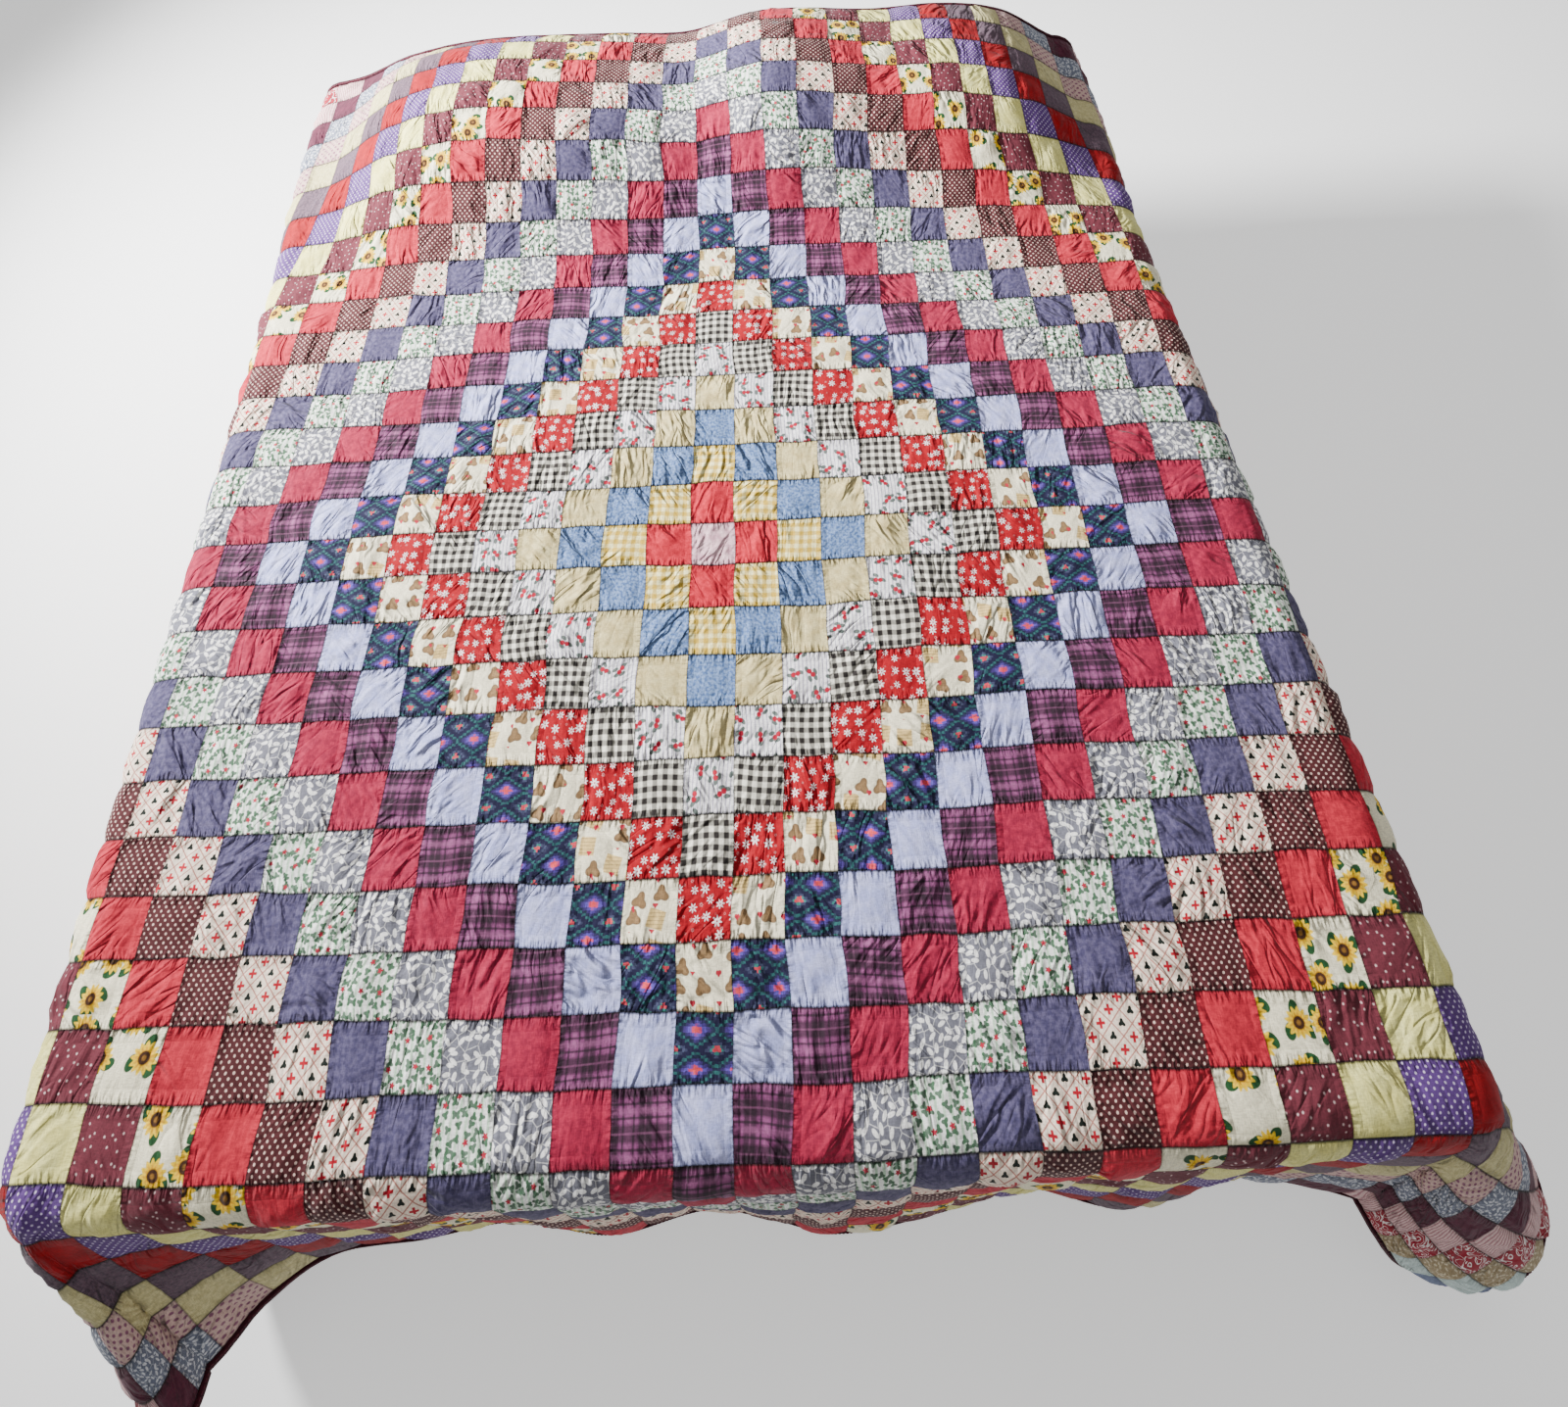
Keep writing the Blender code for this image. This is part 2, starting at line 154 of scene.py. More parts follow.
# The cottons from the middle square outward, a ring each.  The cream one that follows the red
# daisies has a plain made-up layout of biscuits, hearts and cards in like colours and scale.
RINGS = (
    Cotton("mauve_mottled_cotton", Print.MOTTLE, "E3BDC4", ("C08F9E",), 12, creased=1.3),
    Cotton("coral_red_cotton", Print.MOTTLE, "CC2639", ("AC1A2A",), 9, creased=1.2),
    Cotton("yellow_gingham_cotton", Print.GINGHAM, "FAF0B0", ("C8A43A",), 15.2, 0.5, creased=1.3),
    Cotton("denim_blue_heather_cotton", Print.MOTTLE, "7F99C4", ("365488",), 4.6, creased=1.3),
    Cotton("khaki_cotton", Print.MOTTLE, "D9CA94", ("C0AC76",), 18, creased=1.4),
    Cotton("rosebud_pinstripe_cotton", Print.SPRIG, "F6F3F5", ("A7A0B2", "3E5046", "AA1430"), 31),
    Cotton("black_gingham_cotton", Print.GINGHAM, "F7F2E2", ("1A1414",), 15.2, 0.5),
    Cotton("red_daisy_cotton", Print.DAISY, "A00619", ("F8E6E6", "EBA8A8"), 20, 0.36),
    Cotton("cream_baking_cotton", Print.BAKING, "F3EACB", ("7A5F42", "B5283A", "D5B061"), 35),
    Cotton("navy_serape_cotton", Print.SERAPE, "171634", ("3C2A6A", "3A9084", "DC4450"), 54),
    Cotton("periwinkle_cotton", Print.MOTTLE, "B9BCE8", ("9EA4DA",), 16, creased=1.4),
    Cotton("purple_plaid_cotton", Print.PLAID, "7C3F6A", ("191418", "A8628E"), 42),
    Cotton("raspberry_cotton", Print.MOTTLE, "AC2343", ("8A1A37",), 9),
    Cotton("grey_leaf_cotton", Print.LEAF, "74747F", ("F6F4F2",), 12, 0.44),
    Cotton("holly_stripe_cotton", Print.HOLLY, "F5F6F0", ("BFD8BE", "1F5432", "B0243C"), 11),
    Cotton("slate_violet_cotton", Print.MOTTLE, "5D5676", ("3C3758",), 7),
    Cotton("tree_lattice_cotton", Print.LATTICE, "FAE6D2", ("B06054", "B3162A", "161F1A"), 19),
    Cotton("maroon_pindot_cotton", Print.DOTS, "4C2023", ("DDBDB0",), 7.6, 0.22),
    Cotton("salmon_cotton", Print.MOTTLE, "C62A3C", ("A91F31",), 8),
    Cotton("sunflower_cotton", Print.SUNFLOWER, "F3EBCB", ("1F4A26", "F2C81E", "3E2210"), 48, 0.36),
    Cotton("burgundy_flower_cotton", Print.DOTS, "672A35", ("E0C2C0",), 13, 0.10),
    Cotton("pale_yellow_cotton", Print.MOTTLE, "E8E294", ("DAD27C",), 26),
    Cotton("purple_dot_cotton", Print.DOTS, "5C3C7C", ("CFC0DE",), 7.6, 0.20),
    Cotton("dark_red_cotton", Print.MOTTLE, "9E0512", ("86040F",), 20),
    Cotton("grey_mauve_cotton", Print.MOTTLE, "6C5662", ("4E404C",), 5),
    Cotton("khaki_yellow_cotton", Print.MOTTLE, "CFC592", ("B9AE7C",), 9),
    Cotton("pink_dot_cotton", Print.DOTS, "CCABA2", ("8A566E",), 11, 0.28),
    Cotton("blue_grey_print_cotton", Print.LEAF, "6C7284", ("CDCFD6",), 9, 0.4),
    Cotton("wine_cotton", Print.MOTTLE, "5A2438", ("4A1C2E",), 16),
    Cotton("pink_stripe_cotton", Print.STRIPE, "DDBBB8", ("B07880",), 6, 0.4),
    Cotton("red_scroll_cotton", Print.SCROLL, "9A182E", ("EFE2DF",), 26, 0.5),
    Cotton("tan_print_cotton", Print.LEAF, "9E8B68", ("D8CBAE",), 11, 0.34),
    Cotton("mint_cotton", Print.MOTTLE, "CFE0DC", ("BFD2CF",), 18),
    Cotton("blue_slate_cotton", Print.MOTTLE, "76829E", ("5C6888",), 5),
    Cotton("dusty_violet_cotton", Print.MOTTLE, "8480B0", ("6C689C",), 9),
)
BINDING_CLOTH = Cotton("binding_wine_cotton", Print.MOTTLE, "420E1E", ("330A17",), 8, creased=0.6)
BACKING_CLOTH = Cotton("backing_wine_cotton", Print.MOTTLE, "5C1A2A", ("4A1422",), 18)
THREAD = Cotton("stitching_thread", Print.PLAIN, "6E2438", roughness=0.6, sheen=0.1)
COVER_CLOTH = Cotton("mattress_damask", Print.LEAF, "DEDAD2", ("EAE7E0",), 30, 0.44, creased=0.2)
TAPE_CLOTH = Cotton("mattress_tape", Print.STRIPE, "B9B2A6", ("A59D90",), 3, 0.4, creased=0.2)
BASE_CLOTH = Cotton("divan_linen_weave", Print.GINGHAM, "A69F94", ("8F877B",), 4.0, 0.5,
                    creased=0.1)
TICKING = Cotton("pillow_ticking", Print.STRIPE, "EDEAE2", ("B9C0CC",), 14, 0.12, creased=0.6)


class Loom:
    """Weaves and prints one cotton as a node material.

    The cloth's print map holds millimetres, so every pitch is a real size.
    """

    def __init__(self, cotton: Cotton, pieced: bool) -> None:
        """Start the material.

        Args:
            cotton: The cotton to make.
            pieced: Whether it is sewn in squares, with a seam map.
        """
        self.cotton, self.pieced = cotton, pieced
        self.material = bpy.data.materials.new(cotton.name)
        self.material.use_nodes = True
        self.tree = self.material.node_tree
        self.shader = self.tree.nodes["Principled BSDF"]
        self.print_map = add(self.tree, "ShaderNodeUVMap", uv_map="print")
        self.fold_map = add(self.tree, "ShaderNodeUVMap", uv_map="fold" if pieced else "print")
        self.colour: Socket | None = None

    def node(self, kind: str, *values: object, out: int = 0, **settings: object) -> Socket:
        """Add a node to this cotton's tree.

        Args:
            kind: The node's type name.
            values: One for each input in order.
            out: Which output to hand back.
            settings: The node's own properties.

        Returns:
            The chosen output socket.
        """
        return add(self.tree, kind, *values, out=out, **settings)

    def laid(self, pitch: float, turn: float = 0.0, stretch: float = 1.0,
             on: Socket | None = None) -> Socket:
        """Print coordinates counted in pitches, stretched along y, and turned.

        Args:
            pitch: Length of one unit in millimetres.
            turn: Turn of the coordinates.
            stretch: How much longer a unit is along y.
            on: The map to read, or None for the print map.

        Returns:
            The coordinates.
        """
        return self.node(MAPPING, on or self.print_map, None, (0.0, 0.0, turn),
                         (1 / pitch, 1 / (pitch * stretch), 1.0), vector_type="POINT")

    def below(self, value: Socket, limit: float, soft: float) -> Socket:
        """Mask that is 1 where a value is under a limit, with a soft edge.

        Args:
            value: The value.
            limit: Where the mask is one half.
            soft: Half the width of its edge.

        Returns:
            The mask.
        """
        return self.node(RANGE, value, limit + soft, limit - soft, 0.0, 1.0)

    def ink(self, mask: Socket, colour: str | Socket, strength: float = 1.0) -> None:
        """Print a colour over what is there.

        Args:
            mask: Where the colour goes.
            colour: Its hex code, or a socket.
            strength: How much of it covers.
        """
        if strength < 1:
            mask = self.node(MATH, mask, strength, operation="MULTIPLY")
        paint = linear(colour) if isinstance(colour, str) else colour
        self.colour = self.node(MIX, mask, None, None, None, None, None, self.colour, paint,
                                out=2, data_type="RGBA")

    def ground(self, colour: str) -> None:
        """Dye the ground with a hex colour, before any print."""
        base = linear(colour)
        self.colour = self.node(MIX, 0.0, None, None, None, None, None, base, base,
                                out=2, data_type="RGBA")

    def motifs(self, pitch: float, scatter: float, turn: float = 0.0,
               spin: float = 6.28) -> tuple[Socket, Socket]:
        """Lay one motif in each cell of a lattice.

        Args:
            pitch: The cell's side in millimetres.
            scatter: 0 for a strict lattice, 1 for a loose one.
            turn: Turn of the lattice.
            spin: How far a motif may be turned at random.

        Returns:
            Coordinates from the motif's middle, in pitches, and a random colour for each motif.
        """
        where = self.laid(pitch, turn)
        cell = self.node(VORONOI, where, voronoi_dimensions="2D", feature="F1")
        cell.node.inputs["Scale"].default_value = 1.0
        cell.node.inputs["Randomness"].default_value = scatter
        chance = cell.node.outputs["Color"]
        local = self.node(VECTOR, where, cell.node.outputs["Position"], operation="SUBTRACT")
        if spin:
            pick = self.node(SPLIT, chance)
            angle = self.node(MATH, pick, spin, operation="MULTIPLY")
            local = self.node(TURN, local, (0, 0, 0), (0, 0, 1), angle, rotation_type="AXIS_ANGLE")
        return local, chance

    def away(self, local: Socket, centre: tuple[float, float] = (0.0, 0.0),
             shape: tuple[float, float] = (1.0, 1.0)) -> Socket:
        """Distance from a point of a motif, measured in a stretched circle.

        Args:
            local: Coordinates from the motif's middle.
            centre: The point, in pitches.
            shape: How much faster the distance grows along each axis.

        Returns:
            The distance in pitches.
        """
        moved = self.node(MAPPING, local, (-centre[0] * shape[0], -centre[1] * shape[1], 0.0),
                          (0.0, 0.0, 0.0), (*shape, 1.0), vector_type="POINT")
        return self.node(VECTOR, moved, operation="LENGTH", out=1)

    def petals(self, local: Socket, count: int, depth: float) -> Socket:
        """Distance from a flower's middle, longer between its petals.

        Args:
            local: Coordinates from the flower's middle.
            count: Number of petals.
            depth: How deep the cuts between petals are, in pitches.

        Returns:
            The distance; below the flower's radius is inside it.
        """
        x = self.node(SPLIT, local)
        angle = self.node(MATH, x.node.outputs[1], x, operation="ARCTAN2")
        turns = self.node(MATH, angle, float(count), operation="MULTIPLY")
        wave = self.node(MATH, turns, operation="COSINE")
        cut = self.node(MATH, wave, -depth / 2, depth / 2, operation="MULTIPLY_ADD")
        return self.node(MATH, self.away(local), cut, operation="ADD")

    def stripe(self, pitch: float, share: float, across: bool, soft: float = 0.05,
               shift: float = 0.0) -> Socket:
        """Mask of stripes.

        Args:
            pitch: From stripe to stripe in millimetres.
            share: A stripe's width as a share of the pitch.
            across: Whether the stripes run across the square instead of up it.
            soft: Softness of the edge as a share of the pitch.
            shift: Place of the stripe within the repeat.

        Returns:
            The mask.
        """
        axes = self.node(SPLIT, self.laid(pitch))
        along = axes.node.outputs[1] if across else axes
        moved = self.node(MATH, along, shift, operation="ADD")
        fold = self.node(MATH, moved, 0.5, operation="PINGPONG")
        return self.below(fold, share / 2, soft / 2)

    def cloud(self, pitch: float, detail: float = 3.0, turn: float = 0.0, stretch: float = 1.0,
              distortion: float = 0.0, on: Socket | None = None) -> Socket:
        """Uneven value from 0 to 1 with blotches of a size in millimetres.

        Args:
            pitch: Size of the blotches.
            detail: How much finer detail they have.
            turn: Turn of the coordinates.
            stretch: How much longer the blotches are along y.
            distortion: How much they swirl.
            on: The map to read, or None for the print map.

        Returns:
            The value.
        """
        made = self.node(NOISE, self.laid(pitch, turn, stretch, on), noise_dimensions="2D")
        made.node.inputs["Scale"].default_value = 1.0
        made.node.inputs["Detail"].default_value = detail
        made.node.inputs["Distortion"].default_value = distortion
        return made

    def print_plain(self) -> None:
        """A dyed cloth with nothing printed on it."""

    def print_mottle(self) -> None:
        """Tone-on-tone blotches."""
        c = self.cotton
        blotch = self.node(RANGE, self.cloud(c.pitch), 0.36, 0.64, 0.0, 1.0)
        self.ink(blotch, c.inks[0], 0.8)

    def print_gingham(self) -> None:
        """Even checks: where the two sets of stripes cross the colour is full."""
        c = self.cotton
        bars = [self.stripe(c.pitch, c.size, across, 0.10) for across in (False, True)]
        for bar in bars:
            self.ink(bar, c.inks[0], 0.68)
        self.ink(self.node(MATH, *bars, operation="MULTIPLY"), c.inks[0], 0.9)

    def print_plaid(self) -> None:
        """Wide dark bars with fine lines between them."""
        c = self.cotton
        for across in (False, True):
            self.ink(self.stripe(c.pitch, 0.14, across, 0.06, 0.5), c.inks[1], 0.3)
            self.ink(self.stripe(c.pitch, 0.40, across, 0.08), c.inks[0], 0.72)
            self.ink(self.stripe(c.pitch, 0.05, across, 0.03), c.inks[1], 0.25)
            self.ink(self.stripe(c.pitch, 0.06, across, 0.03, 0.34), c.inks[0], 0.7)
            self.ink(self.stripe(c.pitch, 0.06, across, 0.03, 0.66), c.inks[0], 0.7)

    def print_sprig(self) -> None:
        """Grey pinstripes with scattered sprigs of two rosebuds and a few leaves."""
        c = self.cotton
        self.ink(self.stripe(6.4, 0.28, False, 0.1), c.inks[0], 0.95)
        local, _ = self.motifs(c.pitch, 0.55)
        for centre in ((0.02, 0.22), (-0.25, -0.12), (0.22, -0.17), (0.28, 0.12)):
            leaf = self.away(local, centre, (1.0, 1.7))
            self.ink(self.below(leaf, 0.17, 0.02), c.inks[1], 0.9)
        for centre in ((0.10, 0.05), (-0.11, -0.04)):
            self.ink(self.below(self.away(local, centre), 0.125, 0.02), c.inks[2])

    def print_daisy(self) -> None:
        """White and pink daisies with a red eye."""
        c = self.cotton
        for pitch, size, ink in ((c.pitch * 0.7, 0.20, c.inks[1]), (c.pitch, c.size, c.inks[0])):
            local, chance = self.motifs(pitch, 0.6)
            flower = self.petals(local, 7, 0.2)
            grown = self.node(MATH, self.node(SPLIT, chance), 0.12, operation="MULTIPLY")
            self.ink(self.below(self.node(MATH, flower, grown, operation="ADD"), size, 0.03), ink)
            self.ink(self.below(self.away(local), 0.06, 0.02), c.ground)

    def print_baking(self) -> None:
        """A made-up layout: round biscuits, small hearts and square cards, each in its own cell."""
        c = self.cotton
        local, chance = self.motifs(c.pitch, 0.5, spin=0.9)
        pick = self.node(SPLIT, chance)
        card = self.node(VECTOR, local, operation="ABSOLUTE")
        sides = self.node(SPLIT, card)
        widest = self.node(MATH, sides, sides.node.outputs[1], operation="MAXIMUM")
        is_card = self.below(pick, 0.33, 0.001)
        mask = self.node(MATH, self.below(widest, 0.33, 0.02), is_card, operation="MULTIPLY")
        self.ink(mask, c.inks[2], 0.85)
        lines = self.node(MATH, self.stripe(4.5, 0.3, True, 0.1), mask, operation="MULTIPLY")
        self.ink(lines, c.inks[0], 0.45)
        is_round = self.node(MATH, 1.0, is_card, operation="SUBTRACT")
        biscuit = self.petals(local, 3, 0.14)
        shape = self.node(MATH, self.below(biscuit, 0.34, 0.02), is_round, operation="MULTIPLY")
        self.ink(shape, c.inks[0])
        inner = self.node(MATH, self.below(biscuit, 0.25, 0.08), is_round, operation="MULTIPLY")
        self.ink(inner, "93744F", 0.85)
        small, _ = self.motifs(c.pitch * 0.93, 0.3, spin=0.0)
        for centre in ((0.42, 0.43), (0.32, 0.43)):
            self.ink(self.below(self.away(small, centre, (1.0, 0.85)), 0.07, 0.015), c.inks[1])
        self.ink(self.below(self.away(small, (0.37, 0.36), (1.2, 0.8)), 0.065, 0.015), c.inks[1])

    def print_serape(self) -> None:
        """Stepped zigzag diamonds, snapped to coarse picks of the yarn and a little blurred."""
        c = self.cotton
        blur = self.node(VECTOR, self.cloud(5.0, 1.0), (0.07, 0.07, 0.0), operation="MULTIPLY")
        where = self.node(VECTOR, self.laid(c.pitch, 0.0, 0.78), blur, operation="ADD")
        where = self.node(VECTOR, where, (0.055, 0.08, 1.0), operation="SNAP")
        wrapped = self.node(VECTOR, where, (0.5, 0.5, 0.5), (-0.5, -0.5, -0.5), operation="WRAP")
        sides = self.node(SPLIT, self.node(VECTOR, wrapped, operation="ABSOLUTE"))
        rim = self.node(MATH, sides, 0.8, sides.node.outputs[1], operation="MULTIPLY_ADD")
        for limit, ink, strength in ((0.74, "4C5470", 0.7), (0.68, c.ground, 1.0),
                                     (0.47, c.inks[1], 0.50), (0.425, c.ground, 0.95),
                                     (0.31, c.inks[0], 0.8), (0.22, "5A4AA8", 0.9),
                                     (0.125, c.inks[2], 1.0)):
            self.ink(self.below(rim, limit, 0.03), ink, strength)
        corner = self.node(MATH, rim, 0.81, operation="GREATER_THAN")
        self.ink(corner, c.inks[2], 0.75)
        ring = self.node(MATH, rim, 0.78, 0.018, operation="COMPARE")
        self.ink(ring, c.inks[1], 0.65)

    def print_leaf(self) -> None:
        """Pale leaves lying all ways on thin pale stems."""
        c = self.cotton
        stems = self.node(VORONOI, self.laid(c.pitch * 1.4), voronoi_dimensions="2D",
                          feature="DISTANCE_TO_EDGE")
        stems.node.inputs["Scale"].default_value = 1.0
        self.ink(self.below(stems, 0.028, 0.02), c.inks[0], 0.6)
        local, _ = self.motifs(c.pitch, 0.8)
        leaf = self.away(local, (0.0, 0.0), (0.95, 2.0))
        self.ink(self.below(leaf, c.size, 0.05), c.inks[0])

    def print_holly(self) -> None:
        """Pale green stripes under sprays of green leaves and small red flowers."""
        c = self.cotton
        self.ink(self.stripe(9.5, 0.36, False, 0.06), c.inks[0])
        local, _ = self.motifs(c.pitch, 0.9)
        self.ink(self.below(self.petals(local, 3, 0.22), 0.46, 0.04), c.inks[1], 0.9)
        flowers, _ = self.motifs(c.pitch * 2.5, 0.7)
        self.ink(self.below(self.petals(flowers, 5, 0.06), 0.14, 0.02), c.inks[2])

    def print_lattice(self) -> None:
        """A diagonal lattice of thin lines with a red cross or a small dark tree in each cell."""
        c = self.cotton
        where = self.laid(c.pitch, math.radians(45))
        wrapped = self.node(VECTOR, where, (0.5, 0.5, 0.5), (-0.5, -0.5, -0.5), operation="WRAP")
        sides = self.node(SPLIT, self.node(VECTOR, wrapped, operation="ABSOLUTE"))
        far = self.node(MATH, sides, sides.node.outputs[1], operation="MAXIMUM")
        gap = self.node(MATH, 0.5, far, operation="SUBTRACT")
        self.ink(self.below(gap, 0.04, 0.02), c.inks[0], 0.9)
        row = self.node(SPLIT, self.node(VECTOR, where, (0.5, 0.5, 0.5), operation="ADD"))
        cell = self.node(MATH, row, operation="FLOOR")
        odd = self.node(MATH, cell, 2.0, operation="FLOORED_MODULO")
        upright = self.node(TURN, wrapped, (0, 0, 0), (0, 0, 1), math.radians(-45),
                            rotation_type="AXIS_ANGLE")
        arms = self.node(SPLIT, self.node(VECTOR, upright, operation="ABSOLUTE"))
        near = self.node(MATH, arms, arms.node.outputs[1], operation="MINIMUM")
        long = self.node(MATH, arms, arms.node.outputs[1], operation="MAXIMUM")
        cross = self.node(MATH, self.below(near, 0.09, 0.02), self.below(long, 0.30, 0.02),
                          operation="MULTIPLY")
        self.ink(self.node(MATH, cross, odd, operation="MULTIPLY"), c.inks[1])
        stands = self.node(TURN, upright, (0, 0, 0), (0, 0, 1), math.radians(30),
                           rotation_type="AXIS_ANGLE")
        tree = self.below(self.petals(stands, 3, 0.12), 0.26, 0.02)
        even = self.node(MATH, 1.0, odd, operation="SUBTRACT")
        self.ink(self.node(MATH, tree, even, operation="MULTIPLY"), c.inks[2])

    def print_dots(self) -> None:
        """Dots, or tiny flowers, on a diagonal grid."""
        c = self.cotton
        local, _ = self.motifs(c.pitch, 0.0 if c.size > 0.15 else 0.8, math.radians(45))
        self.ink(self.below(self.petals(local, 5, 0.02), c.size, 0.06), c.inks[0])

    def print_sunflower(self) -> None:
        """Sunflowers with dark leaves."""
        c = self.cotton
        local, _ = self.motifs(c.pitch, 0.75)
        for centre in ((0.3, 0.1), (-0.22, 0.24), (-0.12, -0.3)):
            leaf = self.away(local, centre, (1.0, 1.5))
            self.ink(self.below(leaf, 0.20, 0.015), c.inks[0])
        self.ink(self.below(self.petals(local, 13, 0.09), c.size, 0.02), c.inks[1])
        self.ink(self.below(self.petals(local, 13, 0.1), c.size * 0.72, 0.05), "D08A14", 0.7)
        self.ink(self.below(self.away(local), c.size * 0.42, 0.02), c.inks[2])
        self.ink(self.below(self.away(local), c.size * 0.16, 0.02), "A0702A", 0.7)

    def print_stripe(self) -> None:
        """Fine woven stripes."""
        c = self.cotton
        self.ink(self.stripe(c.pitch, c.size, False, 0.1), c.inks[0])

    def print_scroll(self) -> None:
        """A bold two-colour scroll."""
        c = self.cotton
        swirl = self.cloud(c.pitch, 0.6, 0.0, 1.0, 2.2)
        away = self.node(MATH, swirl, 0.5, operation="SUBTRACT")
        self.ink(self.below(self.node(MATH, away, operation="ABSOLUTE"), 0.045, 0.012), c.inks[0])

    def sew(self) -> Socket:
        """Paint shade into the seams and the creases, and crumple the cloth.

        Returns:
            The height of the creases, puckers and yarn for the bump.
        """
        # Yarn is 0.3 mm in the real cloth and is drawn 1.5 mm coarse, so that it can show.
        slub = self.node(MATH, self.cloud(1.6, 1.0, 0.0, 4.0), self.cloud(6.4, 1.0, 0.0, 0.25),
                         operation="ADD")
        shade = self.node(RANGE, slub, 0.65, 1.35, 0.78, 1.12)
        self.colour = self.node(VECTOR, self.colour, shade, operation="MULTIPLY")
        # Creases run most of a square, 10 to 20 mm apart, each square its own way.
        wave = self.node(RANGE, self.cloud(19.0, 1.0, 0.0, 2.6, 0.4, self.fold_map),
                         0.3, 0.7, 0.0, 1.0)
        off = self.node(MATH, self.cloud(26.0, 1.0, 0.35, 3.6, 0.2, self.fold_map), 0.5,
                        operation="SUBTRACT")
        ridge = self.below(self.node(MATH, off, operation="ABSOLUTE"), 0.0, 0.07)
        # Some squares lie nearly smooth and others are well crumpled.
        much = self.cotton.creased
        amount = self.node(RANGE, self.cloud(120.0, 1.0, on=self.fold_map),
                           0.38, 0.62, 0.15 * much, 1.3 * much)
        ridge = self.node(MATH, ridge, amount, operation="MULTIPLY")
        wave = self.node(MATH, wave, amount, operation="MULTIPLY")
        yarn = self.node(MATH, slub, 0.035, operation="MULTIPLY")
        height = self.node(MATH, wave, 0.85, yarn, operation="MULTIPLY_ADD")
        height = self.node(MATH, ridge, -0.45, height, operation="MULTIPLY_ADD")
        # Painted shade: the colour is darkened along the ridges of the creases, where shade falls.
        crease_shade = self.node(RANGE, ridge, 0.35, 1.1, 1.0, 0.74)
        self.colour = self.node(VECTOR, self.colour, crease_shade, operation="MULTIPLY")
        if not self.pieced:
            return height
        ends = self.node(SPLIT, self.node("ShaderNodeUVMap", uv_map="square"))
        near = [self.node(MATH, s, 0.5, operation="PINGPONG") for s in ends.node.outputs[:2]]
        # The seams that join the rows are the last sewn: they sit deepest and pucker most.
        # Painted shade: the colour is darkened in every seam, most in the row seams, and in a wider
        # hollow along each row seam.
        row_seam_shade = self.node(RANGE, near[1], 0.010, 0.035, 0.22, 1.0)
        column_seam_shade = self.node(RANGE, near[0], 0.006, 0.022, 0.50, 1.0)
        hollow = self.node(RANGE, near[1], 0.0, 0.16, 0.84, 1.0)
        line = self.node(MATH, self.node(MATH, row_seam_shade, column_seam_shade, operation="MULTIPLY"),
                         hollow, operation="MULTIPLY")
        self.colour = self.node(VECTOR, self.colour, line, operation="MULTIPLY")
        gather = self.cloud(7.0, 1.5, 0.0, 3.0)
        by_row = self.node(RANGE, near[1], 0.0, 0.20, 1.6, 0.0)
        pucker = self.node(MATH, gather, by_row, height, operation="MULTIPLY_ADD")
        gather = self.cloud(21.0, 1.5, 0.0, 0.33)
        by_column = self.node(RANGE, near[0], 0.0, 0.14, 1.0, 0.0)
        return self.node(MATH, gather, by_column, pucker, operation="MULTIPLY_ADD")

    def finish(self) -> bpy.types.Material:
        """Print the cloth, sew it with painted shade in its seams and creases, and finish it.

        Returns:
            The finished material.
        """
        self.ground(self.cotton.ground)
        prints: dict[Print, Callable[[], None]] = {
            Print.PLAIN: self.print_plain, Print.MOTTLE: self.print_mottle,
            Print.GINGHAM: self.print_gingham, Print.PLAID: self.print_plaid,
            Print.SPRIG: self.print_sprig, Print.DAISY: self.print_daisy,
            Print.BAKING: self.print_baking, Print.SERAPE: self.print_serape,
            Print.LEAF: self.print_leaf, Print.HOLLY: self.print_holly,
            Print.LATTICE: self.print_lattice, Print.DOTS: self.print_dots,
            Print.SUNFLOWER: self.print_sunflower, Print.STRIPE: self.print_stripe,
            Print.SCROLL: self.print_scroll,
        }
        prints[self.cotton.print]()
        height = self.sew()
        bump = self.node("ShaderNodeBump")
        bump.node.inputs["Strength"].default_value = 1.0
        bump.node.inputs["Distance"].default_value = CREASE_HEIGHT
        self.tree.links.new(height, bump.node.inputs["Height"])
        self.tree.links.new(bump, self.shader.inputs["Normal"])
        self.tree.links.new(self.colour, self.shader.inputs["Base Color"])
        for name, value in (("Roughness", self.cotton.roughness), ("Specular IOR Level", 0.22),
                            ("Sheen Weight", self.cotton.sheen), ("Sheen Roughness", 0.5)):
            self.shader.inputs[name].default_value = value
        return self.material


def weave(cotton: Cotton, pieced: bool = False) -> bpy.types.Material:
    """Make a cotton's material."""
    return Loom(cotton, pieced).finish()


def ease(value: Array) -> Array:
    """Smooth step from 0 to 1."""
    value = np.clip(value, 0.0, 1.0)
    return value * value * (3.0 - 2.0 * value)


def through(rows: Sequence[Sequence[float]], position: Array, column: int = 1) -> Array:
    """Smooth value through a table's rows at each position, level at both ends.

    Args:
        rows: The table, its first column the position.
        position: Where to read it.
        column: Which column to read.

    Returns:
        The value at each position.
    """
    table = np.array(rows, float)
    at, value = table[:, 0], table[:, column]
    slope = np.zeros(len(at))
    slope[1:-1] = (value[2:] - value[:-2]) / (at[2:] - at[:-2])
    position = np.clip(position, at[0], at[-1])
    i = np.clip(np.searchsorted(at, position, side="right") - 1, 0, len(at) - 2)
    span = at[i + 1] - at[i]
    s = (position - at[i]) / span
    return ((2 * s ** 3 - 3 * s ** 2 + 1) * value[i] + (s ** 3 - 2 * s ** 2 + s) * span * slope[i]
            + (3 * s ** 2 - 2 * s ** 3) * value[i + 1] + (s ** 3 - s ** 2) * span * slope[i + 1])


